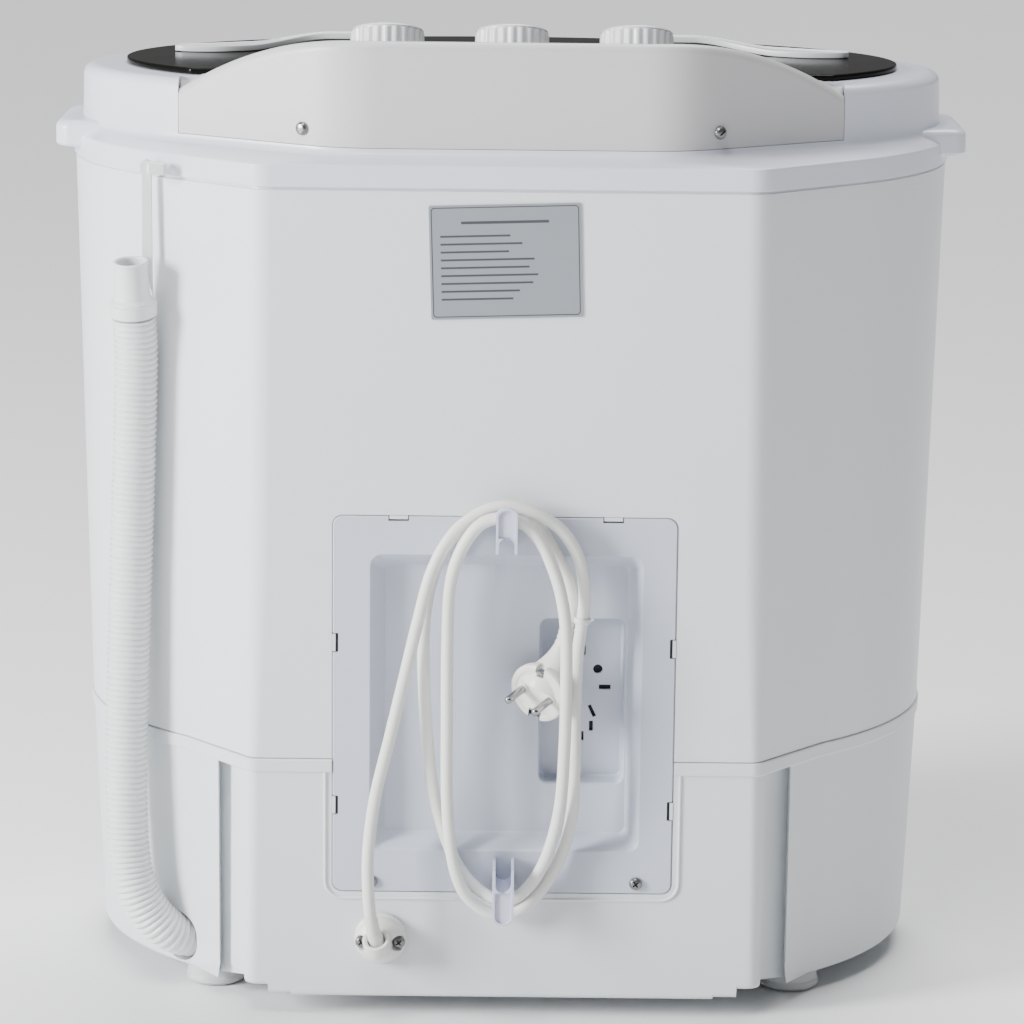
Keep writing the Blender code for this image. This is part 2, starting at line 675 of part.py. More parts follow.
def pulsator():
    """The ribbed disc that turns the wash, with three swept vanes."""
    centre = (WASH_X, rear(WASH_DEPTH), TUB_FLOOR + 0.007)
    profile = [(PULSATOR_R - 0.004, 0), (PULSATOR_R, 0.003), (PULSATOR_R - 0.006, 0.007), (0.040, 0.012),
               (0.022, 0.022), (0.010, 0.026)]
    disc = turned("pulsator", profile, centre, grey_plastic(), count=32)
    for i in range(3):
        angle = 2 * math.pi * i / 3
        vane = bmesh.new()
        bmesh.ops.create_cube(vane, size=1.0)
        bmesh.ops.scale(vane, vec=(0.052, 0.012, 0.020), verts=vane.verts)
        bmesh.ops.translate(vane, vec=(0.042, 0, 0.012), verts=vane.verts)
        bmesh.ops.rotate(vane, cent=(0, 0, 0), matrix=Matrix.Rotation(angle, 3, "Z"), verts=vane.verts)
        bmesh.ops.translate(vane, vec=centre, verts=vane.verts)
        combine(disc, finish(f"join_vane_{i}", vane, None, smooth=False), "UNION")
    return disc


def wash_gearbox():
    """The bearing housing under the wash tub."""
    profile = [(0.040, 0.095), (0.040, 0.196), (0.050, 0.200), (0.050, TUB_FLOOR - 0.0008),
               (0.0062, TUB_FLOOR - 0.0008), (0.0062, 0.095)]
    surface = material("cast_metal", (0.4, 0.41, 0.42), 0.5, 0.8)
    return turned("wash_gearbox", profile, (WASH_X, rear(WASH_DEPTH), 0), surface, closed=True)


def pulley(name, radius, shaft, top, centre):
    """A flanged belt pulley and the shaft it is pressed on."""
    half = 0.004
    profile = [(shaft, -half - 0.008), (shaft + 0.003, -half - 0.004), (radius + 0.0035, -half - 0.004),
               (radius + 0.0035, -half - 0.0006), (radius, -half + 0.0005), (radius, half - 0.0005),
               (radius + 0.0035, half + 0.0006), (radius + 0.0035, half + 0.004),
               (shaft + 0.004, half + 0.004),
               (shaft, half + 0.008), (shaft, top - centre[2])]
    return turned(name, profile, centre, material("pulley_nylon", (0.12, 0.12, 0.13), 0.5), count=32)


def belt_outline(extra):
    """A loop round both pulleys, this far outside their rims."""
    big = Vector((WASH_X, rear(WASH_DEPTH)))
    small = Vector((MOTOR_X, rear(MOTOR_DEPTH)))
    span = small - big
    heading = math.atan2(span.y, span.x)
    lean = math.acos((BIG_PULLEY_R - SMALL_PULLEY_R) / span.length)
    points = []
    for i in range(17):
        angle = heading + lean + (2 * math.pi - 2 * lean) * i / 16
        reach = BIG_PULLEY_R + extra
        points.append((big.x + reach * math.cos(angle), big.y + reach * math.sin(angle)))
    for i in range(9):
        angle = heading - lean + 2 * lean * i / 8
        reach = SMALL_PULLEY_R + extra
        points.append((small.x + reach * math.cos(angle), small.y + reach * math.sin(angle)))
    return points


def drive_belt():
    low, high = BELT_Z - 0.0035, BELT_Z + 0.0035
    inner, outer = belt_outline(0.0008), belt_outline(0.0048)
    rings = [at_height(inner, low), at_height(outer, low), at_height(outer, high), at_height(inner, high)]
    return loft("drive_belt", rings, rubber(), closed=True)


def wash_motor():
    """The wash motor, hung shaft down over the belt."""
    profile = [(0.0080, 0.076), (0.020, 0.076), (0.048, 0.082), (0.048, 0.145), (0.030, 0.150),
               (0.0080, 0.150)]
    surface = material("motor_steel", (0.35, 0.36, 0.38), 0.4, 0.7)
    return turned("wash_motor", profile, (MOTOR_X, rear(MOTOR_DEPTH), 0), surface, closed=True)


def motor_bracket():
    """A plate on three legs that carries the wash motor over its belt."""
    x0, x1 = MOTOR_X - 0.055, MOTOR_X + 0.055
    y0, y1 = rear(MOTOR_DEPTH + 0.055), rear(MOTOR_DEPTH - 0.055)
    plate = box("wash_motor_bracket", (x0, y0, 0.0722), (x1, y1, 0.0755), steel())
    for i, (x, y) in enumerate(((x1 - 0.002, y0 + 0.002), (x1 - 0.002, y1 - 0.002),
                                (x0 + 0.002, y1 - 0.002))):
        inward_x = x - math.copysign(0.012, x - MOTOR_X)
        inward_y = y - math.copysign(0.012, y - rear(MOTOR_DEPTH))
        low = (min(x, inward_x), min(y, inward_y), FOOT_HEIGHT + WALL + GAP)
        high = (max(x, inward_x), max(y, inward_y), 0.074)
        combine(plate, box(f"join_bracket_leg_{i}", low, high, None), "UNION")
    hole = turned("cut_bracket_hole", [(0.012, 0.06), (0.012, 0.09)], (MOTOR_X, rear(MOTOR_DEPTH), 0), None)
    return combine(plate, hole)


def spin_outer_tub():
    profile = [(0.017, TUB_FLOOR), (0.090, TUB_FLOOR), (0.096, TUB_FLOOR + 0.006), (SPIN_TUB_R, TUB_TOP),
               (SPIN_TUB_R - TUB_WALL, TUB_TOP), (0.0935, TUB_FLOOR + 0.009), (0.088, TUB_FLOOR + 0.003),
               (0.017, TUB_FLOOR + 0.003)]
    return turned("spin_outer_tub", profile, (SPIN_X, rear(SPIN_DEPTH), 0), white_plastic(), count=32,
                  closed=True)


def spin_seal():
    """The bellows round the drum shaft."""
    profile = [(0.0075, 0.196), (0.015, 0.196), (0.0125, 0.200), (0.0165, 0.204), (0.0165, 0.218),
               (0.0075, 0.218)]
    return turned("spin_shaft_seal", profile, (SPIN_X, rear(SPIN_DEPTH), 0), rubber(), closed=True)


def spin_basket():
    low, high = BASKET_Z
    profile = [(0.0063, low), (0.070, low), (BASKET_R - 0.003, low + 0.006), (BASKET_R - 0.001, high - 0.006),
               (BASKET_R + 0.0005, high), (BASKET_R - 0.005, high), (BASKET_R - 0.003, high - 0.006),
               (BASKET_R - 0.005, low + 0.008), (0.068, low + 0.003), (0.020, low + 0.003),
               (0.0063, low + 0.010)]
    return turned("spin_basket", profile, (SPIN_X, rear(SPIN_DEPTH), 0), grey_plastic(), count=36,
                  closed=True)


def spin_shaft():
    """The drum's shaft with its brake drum."""
    profile = [(0.006, 0.095), (0.006, 0.148), (0.012, 0.150), (0.045, 0.150), (0.045, 0.174), (0.041, 0.174),
               (0.041, 0.154), (0.012, 0.154), (0.012, 0.168), (0.006, 0.170), (0.006, 0.234)]
    return turned("spin_brake_shaft", profile, (SPIN_X, rear(SPIN_DEPTH), 0), steel())


def spin_motor():
    profile = [(0.052, 0.0405), (0.055, 0.044), (0.055, 0.108), (0.030, 0.116), (0.0075, 0.116),
               (0.0075, 0.085)]
    surface = material("motor_steel", (0.35, 0.36, 0.38), 0.4, 0.7)
    return turned("spin_motor", profile, (SPIN_X, rear(SPIN_DEPTH), 0), surface)


def spin_motor_mount(index):
    angle = math.radians(90 + 120 * index)
    x = SPIN_X + 0.040 * math.cos(angle)
    y = rear(SPIN_DEPTH) + 0.040 * math.sin(angle)
    floor = FOOT_HEIGHT + WALL + GAP
    profile = [(0.010, floor), (0.010, floor + 0.004), (0.007, floor + 0.012), (0.010, 0.036),
               (0.010, 0.0402)]
    return turned(f"spin_motor_mount_{index + 1}", profile, (x, y, 0), rubber(), count=16)


BRAKE_PIVOT_X = SPIN_X - 0.063
BRAKE_PIVOT_DEPTH = SPIN_DEPTH - 0.033


def brake_lever():
    """The spin brake's arm, whose pad closes on the drum when the spin lid opens."""
    x, y = BRAKE_PIVOT_X, rear(BRAKE_PIVOT_DEPTH)
    low, high = 0.156, 0.166
    arm = box("spin_brake_lever", (x - 0.004, y - 0.046, low), (x + 0.004, y + 0.006, high), steel(),
              (x, y, low))
    pad = box("join_brake_pad", (x + 0.003, y - 0.040, low + 0.001), (x + 0.0115, y - 0.026, high - 0.001),
              None)
    combine(arm, pad, "UNION")
    hole = turned("cut_brake_hole", [(0.0026, 0.15), (0.0026, 0.17)], (x, y, 0), None, count=16)
    return combine(arm, hole)


def brake_pin():
    """The post the brake's arm turns on, standing on the base."""
    floor = FOOT_HEIGHT + WALL + GAP
    x, y = BRAKE_PIVOT_X, rear(BRAKE_PIVOT_DEPTH)
    profile = [(0.009, floor), (0.006, 0.153), (0.002, 0.1535), (0.002, 0.170)]
    return turned("spin_brake_post", profile, (x, y, 0), steel(), count=16)


# ---- drain --------------------------------------------------------------------------------
VALVE_X, VALVE_DEPTH = 0.008, 0.086


def drain_valve_body():
    profile = [(0.020, 0.160), (0.020, 0.200), (0.023, 0.202), (0.023, 0.206), (0.0165, 0.206),
               (0.0165, 0.164)]
    return turned("drain_valve_body", profile, (VALVE_X, rear(VALVE_DEPTH), 0), white_plastic())


def drain_valve_plug():
    """The rubber valve and the pull rod that the selector lifts it by."""
    profile = [(0.012, 0.168), (0.014, 0.172), (0.014, 0.180), (0.005, 0.184), (0.0025, 0.188),
               (0.0025, 0.530)]
    return turned("drain_valve_plug", profile, (VALVE_X, rear(VALVE_DEPTH), 0), rubber(), count=16)


def millimetres(route, sign):
    """Route points as world places: sign +1 measures off the rear pad, -1 behind it."""
    return [Vector((x / 1000, REAR_Y + sign * y / 1000, z / 1000)) for x, y, z in route]


def smooth_route(points, spacing):
    """A Catmull-Rom curve through the points, read off at even steps."""
    dense = []
    padded = [2 * points[0] - points[1]] + points + [2 * points[-1] - points[-2]]
    for p0, p1, p2, p3 in zip(padded, padded[1:], padded[2:], padded[3:]):
        for i in range(16):
            t = i / 16
            dense.append(0.5 * (2 * p1 + (p2 - p0) * t + (2 * p0 - 5 * p1 + 4 * p2 - p3) * t ** 2
                                + (3 * p1 - p0 - 3 * p2 + p3) * t ** 3))
    dense.append(points[-1])
    lengths = [0.0]
    for a, b in zip(dense, dense[1:]):
        lengths.append(lengths[-1] + (b - a).length)
    count = max(int(round(lengths[-1] / spacing)), 2)
    even = []
    k = 0
    for i in range(count + 1):
        target = lengths[-1] * i / count
        while k < len(dense) - 2 and lengths[k + 1] < target:
            k += 1
        share = (target - lengths[k]) / (lengths[k + 1] - lengths[k])
        even.append(dense[k].lerp(dense[k + 1], min(max(share, 0), 1)))
    return even


def tube(name, points, radius, surface, resolution=2):
    curve = bpy.data.curves.new(name, "CURVE")
    curve.dimensions = "3D"
    curve.bevel_depth = radius
    curve.bevel_resolution = resolution
    curve.use_fill_caps = True
    spline = curve.splines.new("POLY")
    spline.points.add(len(points) - 1)
    for slot, point in zip(spline.points, points):
        slot.co = (*point, 1)
    curve.materials.append(surface)
    obj = bpy.data.objects.new(name, curve)
    bpy.context.scene.collection.objects.link(obj)
    return obj


def hose_white():
    return material("hose_white", (0.78, 0.78, 0.77), 0.42)


def drain_hose():
    route = smooth_route(millimetres(HOSE_ROUTE, -1), HOSE_STEP)
    return tube("drain_hose", route, HOSE_DIAMETER / 2, hose_white())


def pipe(name, points, outer, inner, surface, count=12):
    """An open-ended tube swept along points."""
    rings = []
    for radius, order in ((outer, points), (inner, points[::-1])):
        for i, point in enumerate(order):
            before = order[max(i - 1, 0)]
            after = order[min(i + 1, len(order) - 1)]
            heading = (after - before) if radius == outer else (before - after)
            rings.append(circle(radius, point, heading, count))
    return loft(name, rings, surface, closed=True)


def drain_pipe():
    """The rigid elbow from the valve to the hose, inside the base."""
    start = smooth_route(millimetres(HOSE_ROUTE, -1), HOSE_STEP)
    heading = (start[0] - start[1]).normalized()
    first = start[0] + heading * 0.0008
    route = [(28.6, 86, 178), (38, 86, 178), (52, 85, 168), (72, 84, 138), (102, 88, 90), (140, 92, 52),
             (168, 93, 34)]
    points = millimetres(route, -1) + [first + heading * 0.008, first]
    return pipe("drain_pipe", points, 0.012, 0.0095, white_plastic())


def hose_end():
    """The cuff and open spout at the free end of the hose."""
    profile = [(0.0125, 0.0006), (0.0134, 0.0014), (0.0134, 0.0100), (0.0122, 0.0114),
               (0.0102, 0.0350), (0.0086, 0.0350), (0.0102, 0.0110), (0.0100, 0.0040)]
    base = Vector((HOSE_TOP[0], rear(HOSE_TOP[1]), HOSE_ROUTE[-1][2] / 1000))
    return turned("hose_end", profile, base, hose_white(), SPOUT_LEAN, count=20)


def hose_hanger():
    """The strap that hangs the hose's cuff from the flange."""
    y = rear(0.0490)
    strap = box("hose_hanger", (0.2125, y - 0.0012, 0.4335), (0.2205, y + 0.0012, 0.5230), hose_white())
    foot = Vector((HOSE_TOP[0], rear(HOSE_TOP[1]), HOSE_ROUTE[-1][2] / 1000))
    combine(strap, turned("join_hanger_collar", [(0.0156, 0.0030), (0.0156, 0.0082)], foot, None,
                          SPOUT_LEAN), "UNION")
    combine(strap, box("join_hanger_clip", (0.2010, rear(0.0422), 0.5150), (0.2195, rear(0.0340), 0.5220),
                       None), "UNION")
    combine(strap, box("join_hanger_arm", (0.2133, y - 0.0008, 0.5158), (0.2200, rear(0.0345), 0.5228),
                       None), "UNION")
    hole = [(0.0137, -0.004), (0.0137, 0.0116), (0.0106, 0.040)]
    return combine(strap, turned("cut_hanger_collar", hole, foot, None, SPOUT_LEAN))


# ---- rear fittings ------------------------------------------------------------------------
def access_cover():
    """The dished panel in the rear pad, with a deeper pocket in its floor."""
    surface = material("cover_blue_grey", (0.62, 0.65, 0.72), 0.36)
    half_w = COVER_SIZE[0] / 2
    top = COVER_BOTTOM + COVER_SIZE[1]
    low = (COVER_X - half_w, rear(COVER_PLATE - COVER_PROUD), COVER_BOTTOM)
    cover = round_box("access_cover", low, (COVER_X + half_w, rear(-COVER_PROUD), top), surface, 0.006)
    skin = 0.002
    recess = dish("join_recess", skin, RECESS_DEPTH + skin, -0.0004)
    combine(cover, recess, "UNION")
    pocket_low = (POCKET_X[0] - skin, rear(POCKET_DEPTH + skin), POCKET_Z[0] - skin)
    pocket_high = (POCKET_X[1] + skin, rear(RECESS_DEPTH), POCKET_Z[1] + skin)
    combine(cover, round_box("join_pocket", pocket_low, pocket_high, None, 0.006), "UNION")
    combine(cover, dish("cut_recess", 0, RECESS_DEPTH, 0.002))
    pocket_low = (POCKET_X[0], rear(POCKET_DEPTH), POCKET_Z[0])
    pocket_high = (POCKET_X[1], rear(0), POCKET_Z[1])
    return combine(cover, round_box("cut_pocket", pocket_low, pocket_high, None, 0.005))


def dish(name, grow, floor, rim):
    """The recess's hollow or its outside: a rectangle that tapers towards its floor."""
    rings = []
    for depth, inset in ((-rim, 0.0), (floor, 0.007)):
        half_w = RECESS_HALF[0] + grow - inset
        half_h = RECESS_HALF[1] + grow - inset
        outline = []
        for sx, sz in ((1, 1), (-1, 1), (-1, -1), (1, -1)):
            outline.append((RECESS_X + sx * half_w, rear(depth), RECESS_CENTRE_Z + sz * half_h))
        rings.append(outline)
    return loft(name, rings, None)


def cord_hook(name, low_z, high_z, arm_z, arch_z):
    """A hook that the wound lead hangs on: an arm off the panel and a flat tongue."""
    surface = material("cover_blue_grey", (0.62, 0.65, 0.72), 0.36)
    base = rear(-COVER_PROUD - GAP)
    tip = REAR_Y + HOOK_REACH
    hook = box(name, (-0.0065, base, arm_z[0]), (0.0065, tip, arm_z[1]), surface)
    tongue = box(f"join_{name}_tongue", (-0.0065, tip - 0.0022, low_z), (0.0065, tip, high_z), None)
    combine(hook, tongue, "UNION")
    arch = box(f"cut_{name}_arch", (-0.0045, base - 0.01, arch_z[0]), (0.0045, tip - 0.0024, arch_z[1]), None)
    return combine(hook, arch)


def rating_label():
    """The bare metal rating plate, stuck on slightly askew."""
    thick = 0.0005
    label = box("rating_label", (-0.0450, -thick / 2, -0.0340), (0.0450, thick / 2, 0.0340),
                material("label_foil", (0.45, 0.46, 0.48), 0.35, 0.6))
    label.location = (0.0023, rear(-GAP - thick / 2), 0.4705)
    label.rotation_euler = (0, math.radians(1.8), 0)
    return label


CLAMP_X, CLAMP_Z = 0.0750, 0.0510


def cord_clamp():
    """The lead's strain relief: a domed boss with a channel the lead rises out of."""
    surface = material("cord_white", (0.80, 0.80, 0.76), 0.45)
    centre = (CLAMP_X, rear(0), CLAMP_Z)
    profile = [(0.0160, GAP), (0.0160, 0.004), (0.0145, 0.008), (0.0110, 0.0105), (0.0085, 0.0125),
               (0.0060, 0.0135)]
    boss = turned("cord_clamp", profile, centre, surface, (0, 1, 0))
    route = millimetres(CORD_ROUTE[:2], 1)
    heading = (route[1] - route[0]).normalized()
    channel = turned("cut_clamp_channel", [(0.0048, -0.0007), (0.0052, 0.030)], route[0], None, heading, 16)
    combine(boss, channel)
    for i, side in enumerate((1, -1)):
        seat = turned(f"cut_clamp_seat_{i}", [(0.0050, 0.0060), (0.0050, 0.020)],
                      (CLAMP_X + side * 0.01135, rear(0), CLAMP_Z - 0.001), None, (0, 1, 0), 16)
        combine(boss, seat)
    return boss


def screw(name, place, axis=(0, 1, 0)):
    """The pan head of a screw."""
    profile = [(0.0040, 0.0), (0.0040, 0.0010), (0.0032, 0.0022), (0.0015, 0.0027)]
    return turned(name, profile, place, steel(), axis, 14)


def screws():
    slope = (wall_depth(0.130) - wall_depth(0.118)) / 0.012
    for i, side in enumerate((1, -1)):
        outward = Vector((side * slope, 1, 0)).normalized()
        place = Vector((side * 0.124, rear(wall_depth(0.124)), 0.545)) + outward * 0.0006
        screw(f"housing_screw_{i + 1}", place, outward)
        screw(f"cover_screw_{i + 1}", (side * 0.081, rear(-COVER_PROUD - GAP), 0.0870))
        screw(f"clamp_screw_{i + 1}", (CLAMP_X + side * 0.01135, rear(-0.0063), CLAMP_Z - 0.001))


def foot(name, x, depth):
    profile = [(0.0165, 0.0), (0.0190, 0.002), (0.0180, FOOT_HEIGHT - GAP)]
    return turned(name, profile, (x, rear(depth), 0), grey_plastic(), count=20)


# ---- lead and plug ------------------------------------------------------------------------
def cord_white():
    return material("cord_white", (0.80, 0.80, 0.76), 0.45)


def power_cord():
    route = smooth_route(millimetres(CORD_ROUTE, 1), CORD_STEP)
    return tube("power_cord", route, CORD_DIAMETER / 2, cord_white())


def plug_frame():
    centre = millimetres([PLUG_FACE], 1)[0]
    return centre, Vector(PLUG_PINS).normalized(), Vector(PLUG_ACROSS).normalized()


def power_plug():
    """The angled mains plug: a round body and the tapered relief of its lead."""
    centre, outward, across = plug_frame()
    profile = [(0.0065, -0.025), (0.0095, -0.0225), (0.0120, -0.017), (0.0162, -0.010), (0.0188, -0.004),
               (0.0185, -0.0008), (0.0175, 0.0)]
    plug = turned("power_plug", profile, centre, cord_white(), outward, 28)
    combine(plug, plug_shoulder("join_plug_shoulder", centre - outward * 0.008), "UNION")
    return plug


def plug_shoulder(name, start):
    """The plug's handle: broad at the body and drawn out to the lead's end."""
    tip = millimetres([CORD_ROUTE[-1]], 1)[0]
    heading = (tip - millimetres([CORD_ROUTE[-2]], 1)[0]).normalized()
    end = tip + heading * 0.0010
    path = smooth_route([start, start + Vector((-0.0080, -0.0010, 0.0165)), end], 0.006)
    rings = []
    for i, point in enumerate(path):
        share = i / (len(path) - 1)
        radius = 0.0047 + 0.0088 * (0.5 + 0.5 * math.cos(math.pi * min(share * 1.2, 1)))
        along = path[i + 1] - path[max(i - 1, 0)] if i < len(path) - 1 else -heading
        rings.append(circle(radius, point, along, 16))
    return loft(name, rings, None)


def plug_pin(name, side):
    centre, outward, across = plug_frame()
    place = centre + across * side * PIN_PITCH / 2 + outward * GAP
    profile = [(0.0024, 0.0), (0.0024, 0.0178), (0.0014, 0.0190)]
    return turned(name, profile, place, steel(), outward, 12)


def cable_tie():
    route = smooth_route(millimetres(CORD_ROUTE, 1), CORD_STEP)
    below, above = [(a, b) for a, b in zip(route, route[1:]) if a.x < -0.044 and a.z > 0.255 > b.z][0]
    heading = above - below
    centre = below + heading * (0.255 - below.z) / heading.z
    profile = [(0.0042, -0.0015), (0.0053, -0.0015), (0.0053, 0.0015), (0.0042, 0.0015)]
    return turned("cable_tie", profile, centre, cord_white(), heading, 16, closed=True)


def lint_filter():
    """The lint catcher on the wash tub's inner wall."""
    y = rear(WASH_DEPTH)
    body = box("lint_filter", (-0.0300, y - 0.024, 0.430), (-0.0155, y + 0.024, 0.510), white_plastic())
    hollow = box("cut_lint_filter", (-0.0280, y - 0.022, 0.433), (-0.0175, y + 0.022, 0.520), None)
    return combine(body, hollow)


def main():
    clear_scene()
    base_housing()
    outer_casing()
    top_cover()
    control_housing()
    control_fascia()
    for index, (dial, body, radius) in enumerate((("spin_timer_knob", "spin_timer", 0.017),
                                                  ("drain_selector_knob", "drain_selector", 0.012),
                                                  ("wash_timer_knob", "wash_timer", 0.017))):
        knob(dial, index)
        timer(body, index, radius, 0.022)
    for name, side in (("wash_lid", -1), ("spin_lid", 1)):
        lid_window(name, side)
        lid_grip(f"{name}_grip", side)
    wash_tub()
    lint_filter()
    pulsator()
    wash_gearbox()
    pulley("pulsator_pulley", BIG_PULLEY_R, 0.005, TUB_FLOOR + 0.0067, (WASH_X, rear(WASH_DEPTH), BELT_Z))
    pulley("motor_pulley", SMALL_PULLEY_R, 0.0045, 0.140, (MOTOR_X, rear(MOTOR_DEPTH), BELT_Z))
    drive_belt()
    wash_motor()
    motor_bracket()
    spin_outer_tub()
    spin_seal()
    spin_basket()
    spin_shaft()
    spin_motor()
    for index in range(3):
        spin_motor_mount(index)
    brake_lever()
    brake_pin()
    drain_valve_body()
    drain_valve_plug()
    drain_pipe()
    drain_hose()
    hose_end()
    hose_hanger()
    access_cover()
    cord_hook("cord_hook_upper", 0.299, 0.327, (0.299, 0.3110), (0.297, 0.3085))
    cord_hook("cord_hook_lower", 0.068, 0.103, (0.0868, 0.103), (0.0892, 0.106))
    rating_label()
    cord_clamp()
    screws()
    for name, x, depth in (("foot_rear_left", 0.181, 0.069), ("foot_rear_right", -0.181, 0.069),
                           ("foot_front_left", 0.170, 0.282), ("foot_front_right", -0.170, 0.282)):
        foot(name, x, depth)
    power_cord()
    power_plug()
    plug_pin("plug_pin_1", 1)
    plug_pin("plug_pin_2", -1)
    cable_tie()


main()
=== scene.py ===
"""The twin tub washer's looks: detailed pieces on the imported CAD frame, its camera, light and floor."""
import json
import math

import bmesh
import bpy
from mathutils import Matrix, Vector


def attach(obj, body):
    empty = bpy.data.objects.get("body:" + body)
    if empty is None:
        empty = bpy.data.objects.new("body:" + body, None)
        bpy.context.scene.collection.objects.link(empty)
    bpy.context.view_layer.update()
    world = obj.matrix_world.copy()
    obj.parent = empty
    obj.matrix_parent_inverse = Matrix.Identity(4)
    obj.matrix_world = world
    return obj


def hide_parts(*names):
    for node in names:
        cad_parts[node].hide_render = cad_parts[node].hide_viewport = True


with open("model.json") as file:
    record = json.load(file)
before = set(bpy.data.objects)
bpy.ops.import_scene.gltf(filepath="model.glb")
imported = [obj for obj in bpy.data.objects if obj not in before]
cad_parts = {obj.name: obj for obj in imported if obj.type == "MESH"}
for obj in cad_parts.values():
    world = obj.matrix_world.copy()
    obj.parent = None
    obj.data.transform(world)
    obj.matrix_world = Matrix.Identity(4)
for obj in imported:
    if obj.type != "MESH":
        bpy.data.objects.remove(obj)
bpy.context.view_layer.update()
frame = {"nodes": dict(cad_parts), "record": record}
NODES = frame["nodes"]

# ---- dimensions shared with the CAD, in metres ---------------------------------------------
GAP = 0.0003
WALL = 0.003
HOOK_REACH = 0.029
BODY_DEPTH = 0.355
FLANGE_PROUD = 0.001
REAR_Y = (BODY_DEPTH + FLANGE_PROUD - HOOK_REACH) / 2
OVAL_DEPTH = 0.185
OVAL_Y = REAR_Y - OVAL_DEPTH
HALF_WIDTH = 0.275
JOINT_HALF_WIDTH = 0.268
FOOT_HALF_WIDTH = 0.262
FRONT_BULGE = BODY_DEPTH - OVAL_DEPTH
REAR_RATIO = 0.75
PAD_TOP_HALF = 0.149
PAD_JOINT_HALF = 0.154
PAD_FOOT_HALF = 0.156
PAD_RADIUS = 0.010
PAD_SOFTEN = 0.012
PAD_JOIN = 0.735
FOOT_HEIGHT = 0.012
JOINT_Z = 0.164
CASING_TOP = 0.513
LIP_HEIGHT = 0.008
LIP_PROUD = 0.0012
FLANGE_TOP = 0.527
SHOULDER_Z = 0.534
DECK_Z = 0.568
CHANNEL_FROM = 0.159
CHANNEL_TO = 0.176
CHANNEL_DEPTH = 0.013
CREASE = 0.0004
STEP_EDGES = (0.1296, 0.1441)
STEP_RISES = (0.0014, 0.0068)
ARCH_RADIUS = 0.0160
PATCH_AT = (0.0605, 0.371)
COVER_HALF_WIDTH = 0.2705
COVER_REAR = 0.1605
COVER_FRONT = 0.165
COVER_FLAT_HALF = 0.103
COVER_FLAT_DEPTH = 0.012
COVER_RADIUS = 0.075
COVER_JOIN = 0.7453
HANDLE_TIP = 0.284
HANDLE_Z = (0.519, 0.5355)
HUMP_HALF = 0.202
HUMP_FRONT_DEPTH = 0.0967
HUMP_TOP = 0.598
HUMP_DROP = 0.0365
HUMP_FLAT_HALF = 0.094
HUMP_BOTTOM = SHOULDER_Z + 0.001 + GAP
FASCIA_HALF = 0.150
FASCIA_THICK = 0.002
FASCIA_SLOPE = math.atan2(0.0221, 0.0717)
KNOB_RADIUS = 0.02275
KNOB_PITCH = 0.0745
KNOB_POINTS = 192
KNOB_FLUTES = 24
KNOB_DEPTH = 0.0480
SHAFT_HOLE = 0.005
LID_HALF_WIDTH = 0.243
LID_REAR = 0.139
LID_FRONT = 0.145
LID_INNER = 0.006
LID_REAR_DEPTH = 0.1032
LID_Z = (0.5685, 0.572)
HINGE_DEPTH = 0.1002
HINGE_Z = 0.572
GRIP_X = (0.062, 0.2145)
GRIP_REAR = (0.236, 0.202)
GRIP_FRONT = (0.250, 0.217)
GRIP_THICK = 0.0036
GRIP_RISE = 0.0058
WASH_X, WASH_DEPTH = -0.122, 0.205
SPIN_X, SPIN_DEPTH = 0.128, 0.200
TUB_TOP = 0.5644
TUB_FLOOR = 0.212
TUB_WALL = 0.0025
SPIN_TUB_R = 0.102
SPIN_MOUTH_R = 0.086
BASKET_R = 0.082
BASKET_Z = (0.226, 0.500)
COVER_X = 0.0010
COVER_SIZE = (0.207, 0.235)
COVER_BOTTOM = 0.0805
COVER_PLATE = 0.0022
COVER_PROUD = 0.0006
RECESS_AT = (-0.0002, 0.1995)
RECESS_HALF = (0.0812, 0.0915)
RECESS_DEPTH = 0.012
POCKET_X = (-0.0722, -0.0210)
POCKET_Z = (0.147, 0.250)
POCKET_DEPTH = 0.026
CORD_DIAMETER = 0.0075
HOSE_DIAMETER = 0.0268
HOSE_TOP = (0.2269, 0.0440)
SPOUT_LEAN = (0.035, 0.160, 0.986)
CLAMP_X, CLAMP_Z = 0.0750, 0.0510
CLAMP_SCREW_X = (CLAMP_X + 0.01135, CLAMP_X - 0.01135)
CLAMP_SCREW_Z = CLAMP_Z - 0.001
